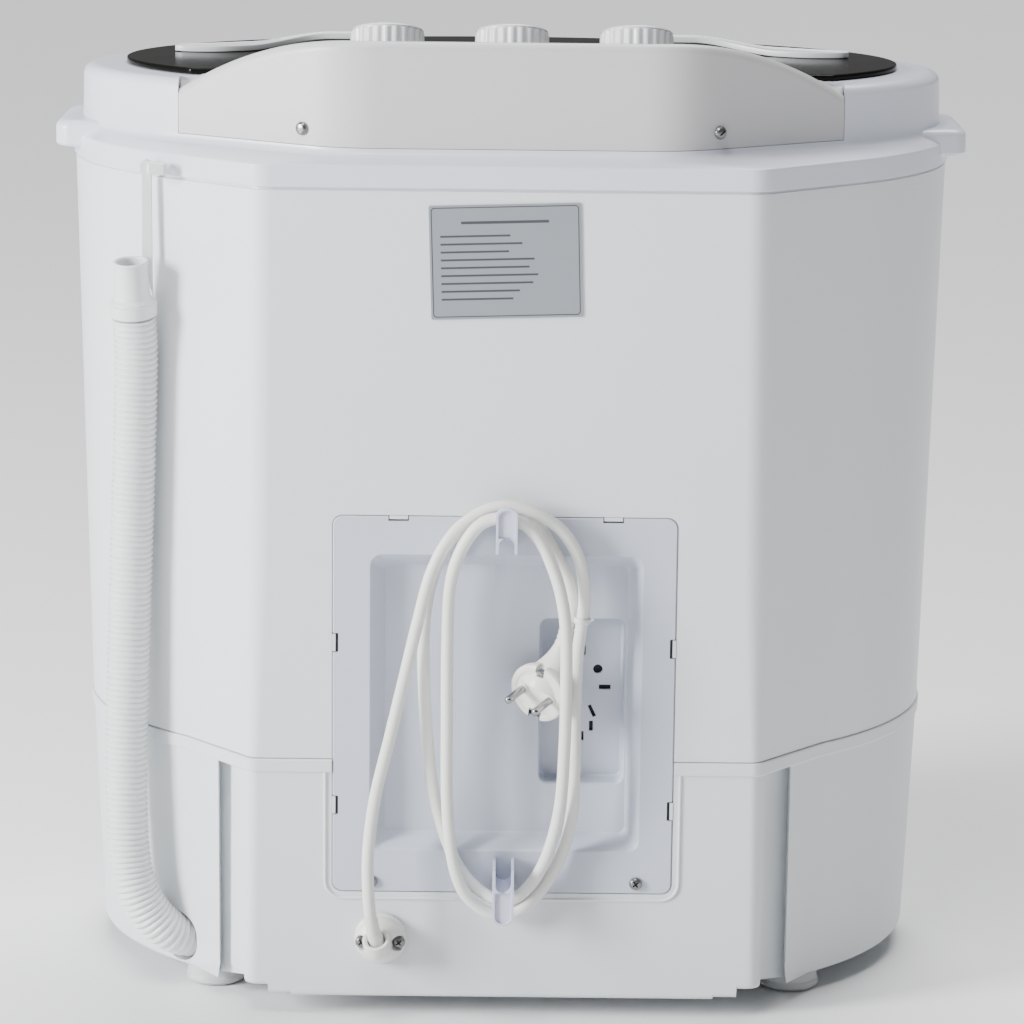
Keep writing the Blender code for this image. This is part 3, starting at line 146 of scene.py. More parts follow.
# Routes in millimetres: across, off the rear plane, up. The lead lies outside the plane, the hose inside it.
CORD_ROUTE = [
    (75.5, 10, 45), (77, 16.5, 54), (79.5, 21.5, 65), (81.5, 24, 83), (82, 22.5, 110), (78, 20, 145),
    (69, 20, 184), (61, 20, 219), (53, 20.5, 254), (45, 20, 285), (34, 17, 306), (20, 14, 318.6),
    (4, 13.5, 324.9), (-14, 13.5, 322.4), (-30, 13, 313), (-39, 12, 302), (-44.5, 11, 289), (-47, 10, 271),
    (-46, 9, 256), (-43.5, 8, 233), (-42.5, 8, 198), (-42.5, 8, 162), (-41.5, 7.5, 135), (-36, 7.5, 109),
    (-25, 8.5, 87.5), (-9, 10.5, 71.5), (5, 11, 70), (17, 12.5, 76.5), (26, 15, 89), (31.5, 16.5, 110),
    (34.5, 16, 143), (35, 16, 197), (35, 17, 249), (33.5, 19, 278), (27, 21, 300), (16, 21.5, 315.5),
    (3, 21.5, 319.6), (-9, 21.5, 316.6), (-19, 21, 307), (-27, 20.5, 291), (-33, 22, 272), (-36, 24.5, 250),
    (-36.5, 25, 215), (-36, 22.5, 178), (-34, 17.5, 142), (-28, 14, 113), (-19, 12, 92.5), (-7, 10.5, 80.2),
    (6, 10, 79.8), (17, 8, 86), (28, 6.5, 99.5), (36, 6, 119), (43, 6, 145), (47, 7, 180), (49.5, 9, 228),
    (48, 8.5, 262), (41, 7, 289), (28, 5.5, 309), (12, 5.5, 319), (-5, 5.5, 320), (-19, 5.5, 311),
    (-30, 6, 294), (-37, 5.5, 279), (-40, 4.3, 266), (-39.8, 2.7, 256.5), (-37.0, 2.0, 248),
]
HOSE_ROUTE = [
    (190, 74, 28.5), (200, 63.5, 30), (211, 57.5, 36), (222, 55.5, 48), (230, 55.5, 64), (234, 56.5, 83),
    (235.5, 57, 110), (235.5, 57, 150), (233.8, 56.5, 210), (231.2, 54.5, 275), (228.8, 51.5, 330),
    (227, 49.3, 378), (226.2, 47.2, 407.8), (226.9, 44, 427.5),
]
PLUG_FACE = (-19, 11, 209)
PLUG_PINS = (0.526, 0.821, -0.221)
PLUG_ACROSS = (-0.846, 0.474, -0.251)
PIN_PITCH = 0.019


def rear(depth):
    return REAR_Y - depth


# ---- materials ------------------------------------------------------------------------------
def put(node, **values):
    """Sets a node's inputs by name, with _ for a space."""
    for key, value in values.items():
        node.inputs[key.replace("_", " ")].default_value = value


def plastic(name, colour, rough=0.34, mottle=0.03, grain=0.10, grain_scale=1600.0, wave=0.25, coat=0.0,
            metal=0.0, soft=0.0):
    """Moulded plastic or metal: faint colour drift, patchy gloss, fine surface grain and slow waviness."""
    made = bpy.data.materials.new(name)
    made.use_nodes = True
    tree = made.node_tree
    shader = tree.nodes["Principled BSDF"]
    place = tree.nodes.new("ShaderNodeTexCoord")

    def noise(scale, detail):
        node = tree.nodes.new("ShaderNodeTexNoise")
        put(node, Scale=scale, Detail=detail)
        tree.links.new(place.outputs["Object"], node.inputs["Vector"])
        return node.outputs["Fac"]

    tint = tree.nodes.new("ShaderNodeMix")
    tint.data_type = "RGBA"
    tint.inputs["A"].default_value = (*[c * (1 - mottle) for c in colour], 1)
    tint.inputs["B"].default_value = (*[min(c * (1 + mottle), 1) for c in colour], 1)
    tree.links.new(noise(9.0, 4.0), tint.inputs["Factor"])
    tree.links.new(tint.outputs["Result"], shader.inputs["Base Color"])
    gloss = tree.nodes.new("ShaderNodeMapRange")
    put(gloss, From_Min=0.3, From_Max=0.7, To_Min=max(rough - 0.012, 0.02), To_Max=rough + 0.018)
    tree.links.new(noise(60.0, 3.0), gloss.inputs["Value"])
    tree.links.new(gloss.outputs["Result"], shader.inputs["Roughness"])

    def bump(strength, distance, height):
        node = tree.nodes.new("ShaderNodeBump")
        put(node, Strength=strength, Distance=distance)
        tree.links.new(height, node.inputs["Height"])
        return node

    slow = bump(wave, 0.0006, noise(7.0, 1.0))
    fine = bump(grain, 0.00008, noise(grain_scale, 2.0))
    tree.links.new(slow.outputs["Normal"], fine.inputs["Normal"])
    tree.links.new(fine.outputs["Normal"], shader.inputs["Normal"])
    put(shader, Metallic=metal, Coat_Weight=coat, Coat_Roughness=0.08)
    if soft:
        put(shader, Subsurface_Weight=soft, Subsurface_Radius=(0.004, 0.004, 0.004))
    return made


def smoked(name):
    """Dark see-through acrylic."""
    made = plastic(name, (0.0065, 0.0070, 0.0050), 0.16, 0.05, 0.02, 900.0, 0.10)
    put(made.node_tree.nodes["Principled BSDF"], Transmission_Weight=0.15, Specular_IOR_Level=0.03, IOR=1.49)
    return made


M_CASING = plastic("casing_white", (0.745, 0.775, 0.795), 0.32, 0.015, coat=0.06)
M_BASE = plastic("base_white", (0.715, 0.750, 0.775), 0.33, 0.015, coat=0.06)
M_TOP = plastic("top_white", (0.70, 0.73, 0.81), 0.30, 0.015, coat=0.12)
M_HUMP = plastic("hump_grey", (0.585, 0.58, 0.59), 0.36, 0.012)
M_FASCIA = plastic("fascia_black", (0.012, 0.012, 0.014), 0.10, 0.1, 0.02, 900.0, 0.1, 0.6)
M_MARK = plastic("print_white", (0.75, 0.75, 0.75), 0.45)
M_KNOB = plastic("knob_white", (0.74, 0.75, 0.77), 0.26, 0.02, 0.04, coat=0.3)
M_KNOB_MARK = plastic("knob_pointer", (0.32, 0.33, 0.35), 0.30, 0.05)
M_SMOKED = smoked("smoked_window")
M_GRIP = plastic("grip_white", (0.70, 0.71, 0.73), 0.30)
M_PANEL = plastic("panel_blue_grey", (0.545, 0.580, 0.670), 0.34, 0.015)
M_HOOK = plastic("hook_lavender", (0.60, 0.62, 0.76), 0.36)
# Painted shade: a near-black put in recesses, slots and hollows to stand for the shade seen there.
M_PAINTED_SHADE = plastic("painted_shade_dark", (0.03, 0.033, 0.04), 0.7)
M_CORD = plastic("lead_white", (0.80, 0.80, 0.77), 0.42, 0.03, 0.12, 2200.0, 0.05, soft=0.05)
M_PLUG = plastic("plug_white", (0.76, 0.76, 0.72), 0.34, 0.03, 0.10, 1500.0, 0.05, soft=0.05)
M_HOSE = plastic("hose_white", (0.78, 0.79, 0.80), 0.33, 0.04, 0.06, 1200.0, 0.2, soft=0.15)
M_STEEL = plastic("bright_steel", (0.34, 0.34, 0.35), 0.17, 0.06, 0.06, 2600.0, 0.05, metal=1.0)
M_SCREW = plastic("zinc_screw", (0.24, 0.24, 0.245), 0.30, 0.10, 0.10, 2600.0, 0.05, metal=1.0)
M_FOOT = plastic("foot_grey", (0.56, 0.57, 0.58), 0.50, 0.05, 0.2, 900.0)
M_RUBBER = plastic("black_rubber", (0.030, 0.030, 0.032), 0.72, 0.15, 0.3, 700.0)
M_TUB = plastic("tub_white", (0.72, 0.74, 0.78), 0.28, 0.03, 0.05)
M_PULSATOR = plastic("pulsator_blue", (0.42, 0.50, 0.62), 0.30, 0.03)
M_BASKET = plastic("basket_grey", (0.62, 0.63, 0.66), 0.30, 0.03)
M_CAST = plastic("cast_metal", (0.38, 0.39, 0.40), 0.52, 0.15, 0.5, 500.0, metal=0.8)
M_MOTOR = plastic("motor_paint", (0.20, 0.21, 0.22), 0.42, 0.1, 0.3, 700.0, metal=0.4)
M_NYLON = plastic("black_nylon", (0.045, 0.045, 0.05), 0.45, 0.08, 0.2)
M_BAKELITE = plastic("bakelite", (0.26, 0.22, 0.17), 0.5, 0.1, 0.2)
M_FOIL = plastic("label_foil", (0.30, 0.32, 0.35), 0.38, 0.05, 0.15, 1800.0, 0.1, metal=0.35)
M_PRINT = plastic("label_print", (0.05, 0.055, 0.065), 0.5)

SLOT_MATERIALS = {
    "white_plastic": M_TUB, "grey_plastic": M_BASKET, "dark_plastic": M_FASCIA, "smoked_clear": M_SMOKED,
    "cover_blue_grey": M_PANEL, "bakelite": M_BAKELITE, "motor_steel": M_MOTOR, "cast_metal": M_CAST,
    "rubber": M_RUBBER, "pulley_nylon": M_NYLON, "steel": M_STEEL, "hose_white": M_HOSE, "cord_white": M_CORD,
    "label_foil": M_FOIL,
}


def dress_cad():
    """Every CAD node that stays shown gets the procedural material of its slot."""
    for entry in frame["record"]["subparts"]:
        obj = NODES[entry["node"]]
        obj.data.materials.clear()
        obj.data.materials.append(SLOT_MATERIALS[entry["material_slot"]])


# ---- mesh helpers ---------------------------------------------------------------------------
def link(name, bm, surface=None):
    bmesh.ops.recalc_face_normals(bm, faces=bm.faces)
    mesh = bpy.data.meshes.new(name)
    bm.to_mesh(mesh)
    bm.free()
    if surface:
        mesh.materials.append(surface)
    obj = bpy.data.objects.new(name, mesh)
    bpy.context.scene.collection.objects.link(obj)
    return obj


def bake(obj):
    """Applies a piece's modifiers to its mesh."""
    bpy.context.view_layer.update()
    view = obj.evaluated_get(bpy.context.evaluated_depsgraph_get())
    mesh = bpy.data.meshes.new_from_object(view)
    old = obj.data
    obj.modifiers.clear()
    obj.data = mesh
    bpy.data.meshes.remove(old)
    return obj


def cut(obj, *helpers, operation="DIFFERENCE"):
    for helper in helpers:
        change = obj.modifiers.new("cut", "BOOLEAN")
        change.operation = operation
        change.solver = "EXACT"
        change.object = helper
    bake(obj)
    for helper in helpers:
        bpy.data.objects.remove(helper, do_unlink=True)
    return obj


def soften(obj, width, segments=2, angle=35.0):
    """Rounds every edge sharper than the angle."""
    change = obj.modifiers.new("round", "BEVEL")
    change.width = width
    change.segments = segments
    change.limit_method = "ANGLE"
    change.angle_limit = math.radians(angle)
    change.use_clamp_overlap = True
    return bake(obj)


def settle(obj, body="cabinet", stands_for=(), sharp=40.0):
    """Smooth shading that keeps flats flat, then the piece rides on its body."""
    obj.data.shade_smooth()
    obj.data.set_sharp_from_angle(angle=math.radians(sharp))
    change = obj.modifiers.new("weigh", "WEIGHTED_NORMAL")
    change.keep_sharp = True
    change.weight = 80
    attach(obj, body)
    if stands_for:
        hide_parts(*stands_for)
    return obj


def loft(name, rings, surface=None, closed=False):
    """A skin over a stack of rings, capped at both ends or closed round from the last to the first."""
    bm = bmesh.new()
    rows = [[bm.verts.new(point) for point in ring] for ring in rings]
    pairs = list(zip(rows, rows[1:]))
    if closed:
        pairs.append((rows[-1], rows[0]))
    count = len(rows[0])
    for low, high in pairs:
        for i in range(count):
            j = (i + 1) % count
            bm.faces.new((low[i], low[j], high[j], high[i]))
    if not closed:
        bm.faces.new(rows[0])
        bm.faces.new(rows[-1])
    return link(name, bm, surface)


def angles(count):
    """Even angles once round."""
    return [2 * math.pi * i / count for i in range(count)]


def circle(radius, centre, axis=(0, 0, 1), count=48):
    spin = Vector(axis).to_track_quat("Z", "Y")
    flat = [(radius * math.cos(a), radius * math.sin(a), 0) for a in angles(count)]
    return [Vector(centre) + spin @ Vector(point) for point in flat]


def turned(name, profile, centre, surface=None, axis=(0, 0, 1), count=48, closed=False):
    along = Vector(axis).normalized()
    rings = [circle(r, Vector(centre) + along * h, axis, count) for r, h in profile]
    return loft(name, rings, surface, closed)


def box(name, low, high, surface=None):
    bm = bmesh.new()
    bmesh.ops.create_cube(bm, size=1.0)
    size = Vector(high) - Vector(low)
    bmesh.ops.scale(bm, vec=size, verts=bm.verts)
    bmesh.ops.translate(bm, vec=Vector(low) + size / 2, verts=bm.verts)
    return link(name, bm, surface)


def mapped_cube(name, place, surface=None):
    """A cube whose corners, each half a unit from its middle, go where place sends them."""
    bm = bmesh.new()
    bmesh.ops.create_cube(bm, size=1.0)
    for vert in bm.verts:
        vert.co = place(vert.co)
    return link(name, bm, surface)


def round_rect(half_u, half_v, radius, steps=6, centre=(0, 0)):
    points = []
    for su, sv, start in ((1, 1, 0), (-1, 1, 90), (-1, -1, 180), (1, -1, 270)):
        for i in range(steps + 1):
            angle = math.radians(start + 90 * i / steps)
            points.append((centre[0] + su * (half_u - radius) + radius * math.cos(angle),
                           centre[1] + sv * (half_v - radius) + radius * math.sin(angle)))
    return points


def slab(name, outlines, surface=None):
    """A piece on the rear pad from stacked outlines, each as (points as (x, z), depth)."""
    return loft(name, [[(x, rear(depth), z) for x, z in points] for points, depth in outlines], surface)


def dish(name, centre, half, levels, surface=None, steps=6):
    """Stacked rounded rectangles on the rear, each level as (grow, corner radius, depth)."""
    return slab(name, [(round_rect(half[0] + grow, half[1] + grow, radius, steps, centre), depth)
                       for grow, radius, depth in levels], surface)


def half_round(half, rise, top, steps=8):
    """A half ellipse as (x, height) points, from +x over the top to -x."""
    angles = [math.pi * i / steps for i in range(steps + 1)]
    return [(half * math.cos(angle), top - rise + rise * math.sin(angle)) for angle in angles]


def rounded_turn(points, radius, steps=4):
    """A profile of (radius, height) points whose inner corners are rounded."""
    out = [points[0]]
    for before, corner, after in zip(points, points[1:], points[2:]):
        a = Vector(before) - Vector(corner)
        b = Vector(after) - Vector(corner)
        reach = min(radius, a.length * 0.45, b.length * 0.45)
        start = Vector(corner) + a.normalized() * reach
        end = Vector(corner) + b.normalized() * reach
        for i in range(steps + 1):
            t = i / steps
            out.append(tuple(start * (1 - t) ** 2 + Vector(corner) * 2 * t * (1 - t) + end * t * t))
    out.append(points[-1])
    return out


# ---- outlines, as in the CAD but finer ------------------------------------------------------
def fillet(before, corner, after, radius, steps):
    """An arc that rounds one corner of an outline."""
    corner = Vector(corner)
    first = (Vector(before) - corner).normalized()
    second = (Vector(after) - corner).normalized()
    half = first.angle(second) / 2
    centre = corner + (first + second).normalized() * radius / math.sin(half)
    reach = radius / math.tan(half)
    start = corner + first * reach - centre
    end = corner + second * reach - centre
    from_angle = math.atan2(start.y, start.x)
    sweep = math.atan2(end.y, end.x) - from_angle
    sweep = (sweep + math.pi) % (2 * math.pi) - math.pi
    points = []
    for i in range(steps + 1):
        angle = from_angle + sweep * i / steps
        points.append((centre.x + radius * math.cos(angle), centre.y + radius * math.sin(angle)))
    return points


def oval_arc(width, depth, start, end, steps):
    """Points on the body's oval, the angle counted from straight back."""
    angles = [start + (end - start) * i / steps for i in range(steps + 1)]
    return [(width * math.sin(angle), OVAL_Y + depth * math.cos(angle)) for angle in angles]


def mirrored(half):
    return half + [(-x, y) for x, y in reversed(half[:-1])]


def half_plan(width, back, front, flat_half, flat_depth, join, radius, channel=0.0, wall=0.0):
    """Half of a body's outline, from its flat rear to its front. Without a channel the flank is smooth."""
    flat_y = rear(flat_depth)
    turn = math.asin(join / width)
    meet = (join, OVAL_Y + back * math.cos(turn))
    points = fillet((0, flat_y), (flat_half, flat_y), meet, radius, 10)
    if channel is not None:
        points = [(x, flat_y) for step in STEP_EDGES for x in (step, step + CREASE)] + points
        edge = points[-1]
        slope = (meet[1] - edge[1]) / (meet[0] - edge[0])
        start, end = CHANNEL_FROM - wall, CHANNEL_TO + wall
        for x, inward in ((start, 0), (start + CREASE, channel), (end - CREASE, channel), (end, 0)):
            points.append((x, edge[1] + slope * (x - edge[0]) - inward))
    points += oval_arc(width, back, turn, math.pi / 2, 21)
    return points + oval_arc(width, front, math.pi / 2, math.pi, 40)[1:]


def pad_radius(z):
    """The pad's corner radius, softer a little way above the joint."""
    return PAD_RADIUS + PAD_SOFTEN * min(max((z - JOINT_Z) / 0.120, 0), 1)


def body_ring(z, width, flat_half, grow=0.0, channel=None):
    front = FRONT_BULGE - (HALF_WIDTH - width)
    radius = pad_radius(z) + min(grow, 0) * 0.5
    half = half_plan(width + grow, width * REAR_RATIO + grow, front + grow, flat_half + grow * 0.7, -grow,
                     width * PAD_JOIN + grow * 0.6, radius, channel, max(-grow, 0))
    return [(x, y, z) for x, y in mirrored(half)]


def cover_ring(z, grow=0.0):
    flat_half = COVER_FLAT_HALF + grow * 0.5
    join = COVER_HALF_WIDTH * COVER_JOIN + grow * 0.6
    half = half_plan(COVER_HALF_WIDTH + grow, COVER_REAR + grow, COVER_FRONT + grow, flat_half,
                     COVER_FLAT_DEPTH - grow, join, COVER_RADIUS + grow, None)
    return [(x, y, z) for x, y in mirrored(half)]


def lid_outline(inset=0.0, side=1, corner=0.0):
    """A lid's half oval, or the mouth under it, cut off by the hinge line and the middle gap."""
    width = LID_HALF_WIDTH - inset
    back = LID_REAR - inset
    front = LID_FRONT - inset
    rear_y = rear(LID_REAR_DEPTH + inset)
    inner = LID_INNER + inset
    start = math.acos((rear_y - OVAL_Y) / back)
    end = math.pi - math.asin(inner / width)
    points = oval_arc(width, back, start, math.pi / 2, 16) + oval_arc(width, front, math.pi / 2, end, 32)[1:]
    points.append((inner, rear_y))
    if corner:
        tail = fillet(points[-3], points[-2], points[-1], corner, 6)
        tail += fillet(points[-2], points[-1], points[0], corner, 6)
        head = fillet(points[-1], points[0], points[1], min(corner, 0.004), 3)
        points = head + points[2:-3] + tail
    return [(side * x, y) for x, y in points]


def at_height(outline, z):
    return [(x, y, z) for x, y in outline]


def width_at(z):
    if z >= JOINT_Z:
        share = (z - JOINT_Z) / (CASING_TOP - JOINT_Z)
        return (JOINT_HALF_WIDTH + share * (HALF_WIDTH - JOINT_HALF_WIDTH),
                PAD_JOINT_HALF + share * (PAD_TOP_HALF - PAD_JOINT_HALF))
    share = (z - FOOT_HEIGHT) / (JOINT_Z - FOOT_HEIGHT)
    return (FOOT_HALF_WIDTH + share * (JOINT_HALF_WIDTH - FOOT_HALF_WIDTH),
            PAD_FOOT_HALF + share * (PAD_JOINT_HALF - PAD_FOOT_HALF))


def body_level(z, grow=0.0, channel=None):
    width, flat = width_at(z)
    return body_ring(z, width, flat, grow, channel)


# ---- camera, light and floor ----------------------------------------------------------------
CAMERA_DISTANCE = 2.327
CAMERA_HEIGHT = 0.824
CAMERA_LENS = 139.57
CAMERA_PITCH = 12.25
CAMERA_YAW = 0.07
CAMERA_ROLL = 0.62


def set_camera():
    camera = bpy.data.cameras.new("camera")
    camera.sensor_width = 36.0
    camera.lens = CAMERA_LENS
    camera.clip_start = 0.05
    camera.clip_end = 60
    obj = bpy.data.objects.new("camera", camera)
    bpy.context.scene.collection.objects.link(obj)
    place = Vector((0.0, REAR_Y + CAMERA_DISTANCE, CAMERA_HEIGHT))
    pitch = math.radians(CAMERA_PITCH)
    yaw = math.radians(CAMERA_YAW)
    heading = Vector((-math.sin(yaw), -math.cos(yaw) * math.cos(pitch), -math.sin(pitch)))
    turn = heading.to_track_quat("-Z", "Y").to_matrix().to_4x4()
    roll = Matrix.Rotation(math.radians(CAMERA_ROLL), 4, "Z")
    obj.matrix_world = Matrix.Translation(place) @ turn @ roll
    bpy.context.scene.camera = obj


def put_lamp(name, lamp, place, heading):
    obj = bpy.data.objects.new(name, lamp)
    obj.location = place
    obj.rotation_euler = heading.to_track_quat("-Z", "Y").to_euler()
    bpy.context.scene.collection.objects.link(obj)


def area(name, place, aim, size, power):
    lamp = bpy.data.lights.new(name, "AREA")
    lamp.shape = "RECTANGLE"
    lamp.size, lamp.size_y = size
    lamp.energy = power
    put_lamp(name, lamp, place, Vector(aim) - Vector(place))


def set_stage():
    bm = bmesh.new()
    bmesh.ops.create_grid(bm, x_segments=2, y_segments=2, size=20)
    floor = link("floor", bm, plastic("floor_pale", (0.86, 0.86, 0.87), 0.75, 0.01, 0.05, 300.0, 0.0))
    world = bpy.data.worlds.new("studio")
    world.use_nodes = True
    back = world.node_tree.nodes["Background"]
    put(back, Color=(0.98, 0.99, 1.0, 1), Strength=0.17)
    bpy.context.scene.world = world
    area("key", (2.9, 1.5, 1.25), (0, 0, 0.30), (0.8, 1.4), 235)
    area("top", (0.5, 1.1, 3.0), (0, 0, 0.2), (1.0, 1.0), 42)
    lamp = bpy.data.lights.new("overhead", "SUN")
    lamp.energy = 3.3
    lamp.angle = math.radians(40)
    put_lamp("overhead", lamp, (0, 0, 0), Vector((0.15, 0.55, -1.0)))


# ---- lead and hose --------------------------------------------------------------------------
def millimetres(route, sign):
    return [Vector((x / 1000, REAR_Y + sign * y / 1000, z / 1000)) for x, y, z in route]


def smooth_route(points, spacing):
    """A smooth curve through the points, cut into even steps."""
    dense = []
    padded = [2 * points[0] - points[1]] + points + [2 * points[-1] - points[-2]]
    for p0, p1, p2, p3 in zip(padded, padded[1:], padded[2:], padded[3:]):
        for i in range(16):
            t = i / 16
            dense.append(0.5 * (2 * p1 + (p2 - p0) * t + (2 * p0 - 5 * p1 + 4 * p2 - p3) * t ** 2
                                + (3 * p1 - p0 - 3 * p2 + p3) * t ** 3))
    dense.append(points[-1])
    lengths = [0.0]
    for a, b in zip(dense, dense[1:]):
        lengths.append(lengths[-1] + (b - a).length)
    count = max(int(round(lengths[-1] / spacing)), 2)
    even = []
    k = 0
    for i in range(count + 1):
        target = lengths[-1] * i / count
        while k < len(dense) - 2 and lengths[k + 1] < target:
            k += 1
        share = (target - lengths[k]) / (lengths[k + 1] - lengths[k])
        even.append(dense[k].lerp(dense[k + 1], min(max(share, 0), 1)))
    return even


def route_length(points):
    return sum((b - a).length for a, b in zip(points, points[1:]))


def sweep(name, points, radii, surface=None, count=32):
    """A capped tube along points, its ring planes carried along without twist."""
    rings = []
    side = (points[1] - points[0]).normalized().orthogonal().normalized()
    for i, point in enumerate(points):
        ahead = (points[min(i + 1, len(points) - 1)] - points[max(i - 1, 0)]).normalized()
        if i:
            side = (side - ahead * side.dot(ahead)).normalized()
        up = ahead.cross(side)
        rings.append([point + (side * math.cos(a) + up * math.sin(a)) * radii[i] for a in angles(count)])
    return loft(name, rings, surface)


def make_cord():
    points = smooth_route(millimetres(CORD_ROUTE, 1), 0.0045)
    curve = bpy.data.curves.new("lead", "CURVE")
    curve.dimensions = "3D"
    curve.bevel_depth = CORD_DIAMETER / 2
    curve.bevel_resolution = 5
    curve.use_fill_caps = True
    spline = curve.splines.new("POLY")
    spline.points.add(len(points) - 1)
    for slot_point, point in zip(spline.points, points):
        slot_point.co = (*point, 1)
    spline.use_smooth = True
    curve.materials.append(M_CORD)
    obj = bpy.data.objects.new("lead", curve)
    bpy.context.scene.collection.objects.link(obj)
    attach(obj, "cabinet")
    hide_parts("power_cord")
    return obj, points


def make_tie(points):
    pairs = [(a, b) for a, b in zip(points, points[1:]) if a.x < -0.044 and a.z > 0.255 >= b.z]
    above, below = pairs[0]
    heading = (above - below).normalized()
    profile = [(0.0042, -0.0015), (0.0049, -0.0017), (0.0053, -0.001), (0.0053, 0.001), (0.0049, 0.0017),
               (0.0042, 0.0015)]
    tie = turned("lead_tie", profile, below, M_HOSE, heading, 24, closed=True)
    tail_path = [below + Vector(step) for step in ((-0.0046, 0.001, 0), (-0.0058, 0.0014, 0.0004),
                                                   (-0.0068, 0.0016, 0.0014))]
    tail = sweep("tie_tail", tail_path, [0.0010, 0.0010, 0.0007], M_HOSE, 10)
    settle(tie, stands_for=["cable_tie"])
    settle(tail)
    return [tie, tail]


def plug_frame():
    centre = millimetres([PLUG_FACE], 1)[0]
    outward = Vector(PLUG_PINS).normalized()
    across = Vector(PLUG_ACROSS)
    across = (across - outward * across.dot(outward)).normalized()
    return centre, outward, across


def plug_box(name, low, high, surface=None):
    """A box in the plug's own axes: across the pins, up the face, along the pins."""
    centre, outward, across = plug_frame()
    third = outward.cross(across)

    def place(corner):
        a, b, c = [low[i] + (corner[i] + 0.5) * (high[i] - low[i]) for i in range(3)]
        return centre + across * a + third * b + outward * c

    return mapped_cube(name, place, surface)


def make_plug():
    centre, outward, across = plug_frame()
    shape = [(0.0040, -0.0250), (0.0090, -0.0236), (0.0118, -0.0180), (0.0160, -0.0105), (0.0186, -0.0050),
             (0.0190, -0.0022), (0.0184, -0.0004), (0.0172, 0.0), (0.0150, 0.0), (0.0146, -0.0004)]
    body = turned("plug_body", rounded_turn(shape, 0.0015, 3), centre, M_PLUG, outward, 64)
    cut(body, plug_box("cut_slot_top", (-0.0030, 0.0143, -0.0205), (0.0030, 0.0215, 0.002)),
        plug_box("cut_slot_low", (-0.0042, -0.0215, -0.0205), (0.0042, -0.0118, 0.002)))
    soften(body, 0.0003, 2, 50)
    settle(body, stands_for=["power_plug"])
    shoulder = plug_shoulder(centre - outward * 0.008)
    return [body, shoulder] + earth_clips() + plug_pins(centre, outward, across)


def earth_clips():
    """The two earth contacts in the plug's slots, and a dark box painted as the shade in the hollow between
    the lower one's sides.
    """
    plates = {
        "earth_clip_top": ((-0.0015, 0.0152, -0.0190), (0.0015, 0.0162, 0.0006), M_STEEL),
        "earth_foot_top": ((-0.0022, 0.0126, -0.0008), (0.0022, 0.0154, 0.0006), M_STEEL),
        "earth_clip_low": ((-0.0040, -0.0126, -0.0190), (0.0040, -0.0119, 0.0004), M_STEEL),
        "earth_side_a": ((-0.0041, -0.0176, -0.0190), (-0.0036, -0.0124, 0.0002), M_STEEL),
        "earth_side_b": ((0.0036, -0.0176, -0.0190), (0.0041, -0.0124, 0.0002), M_STEEL),
        # Painted shade: a near-black box in the lower slot's hollow.
        "earth_hollow_painted_shade": ((-0.0036, -0.0170, -0.0180), (0.0036, -0.0125, -0.0022), M_PAINTED_SHADE),
    }
    pieces = []
    for name, (low, high, surface) in plates.items():
        clip = soften(plug_box(name, low, high, surface), 0.0002, 2)
        pieces.append(settle(clip))
    return pieces


def plug_pins(centre, outward, across):
    pin_shape = [(0.0024, 0.0), (0.0024, 0.0182), (0.0021, 0.0192), (0.0015, 0.0198), (0.0006, 0.0201)]
    collar_shape = [(0.0034, 0.0006), (0.0034, 0.0016), (0.0030, 0.0022), (0.0025, 0.0022)]
    pieces = []
    for i, side in enumerate((1, -1)):
        place = centre + across * side * PIN_PITCH / 2 - outward * 0.0010
        pin = turned(f"plug_pin_bright_{i + 1}", pin_shape, place, M_STEEL, outward, 24)
        collar = turned(f"pin_collar_{i + 1}", collar_shape, place, M_PLUG, outward, 24)
        pieces.append(settle(pin, stands_for=[f"plug_pin_{i + 1}"]))
        pieces.append(settle(collar))
    return pieces


def plug_shoulder(start):
    """The plug's handle: broad at the body, drawn out to the lead's end with a few soft rings."""
    tip = millimetres([CORD_ROUTE[-1]], 1)[0]
    heading = (tip - millimetres([CORD_ROUTE[-2]], 1)[0]).normalized()
    path = smooth_route([start, start + Vector((-0.0080, -0.0010, 0.0165)), tip - heading * 0.001], 0.0008)
    radii = []
    for i in range(len(path)):
        share = i / (len(path) - 1)
        radius = 0.0047 + 0.0098 * (0.5 + 0.5 * math.cos(math.pi * min(share * 1.2, 1)))
        groove = 0.00045 if share > 0.66 and i % 4 == 0 else 0.0
        radii.append(radius - groove)
    radii[-1] = 0.0042
    shoulder = sweep("plug_shoulder", path, radii, M_PLUG, 36)
    return settle(shoulder, sharp=60)


def make_hose():
    pitch = 0.0037
    steps = 6
    points = smooth_route(millimetres(HOSE_ROUTE, -1), pitch / steps)
    radii = []
    for i in range(len(points)):
        phase = (i % steps) / steps
        groove = 0.5 - 0.5 * math.cos(2 * math.pi * phase)
        radii.append(HOSE_DIAMETER / 2 - 0.0016 * (1 - groove ** 0.55))
    hose = sweep("corrugated_hose", points, radii, M_HOSE, 40)
    settle(hose, stands_for=["drain_hose"], sharp=75)
    profile = rounded_turn([(0.0096, 0.0006), (0.0124, 0.0006), (0.0133, 0.0014), (0.0134, 0.0030),
                            (0.0134, 0.0096), (0.0128, 0.0110), (0.0112, 0.0122), (0.0104, 0.0180),
                            (0.0100, 0.0290), (0.0100, 0.0335), (0.0106, 0.0343), (0.0106, 0.0355),
                            (0.0094, 0.0356), (0.0088, 0.0345), (0.0086, 0.0150), (0.0090, 0.0060),
                            (0.0010, 0.0050)], 0.0007, 2)
    end = turned("hose_spout", profile, hose_foot(), M_HOSE, SPOUT_LEAN, 56)
    settle(end, stands_for=["hose_end"])
    return hose, points, end


def hose_foot():
    """The middle of the cuff's lower end, where the hose stops."""
    return Vector((HOSE_TOP[0], rear(HOSE_TOP[1]), HOSE_ROUTE[-1][2] / 1000))


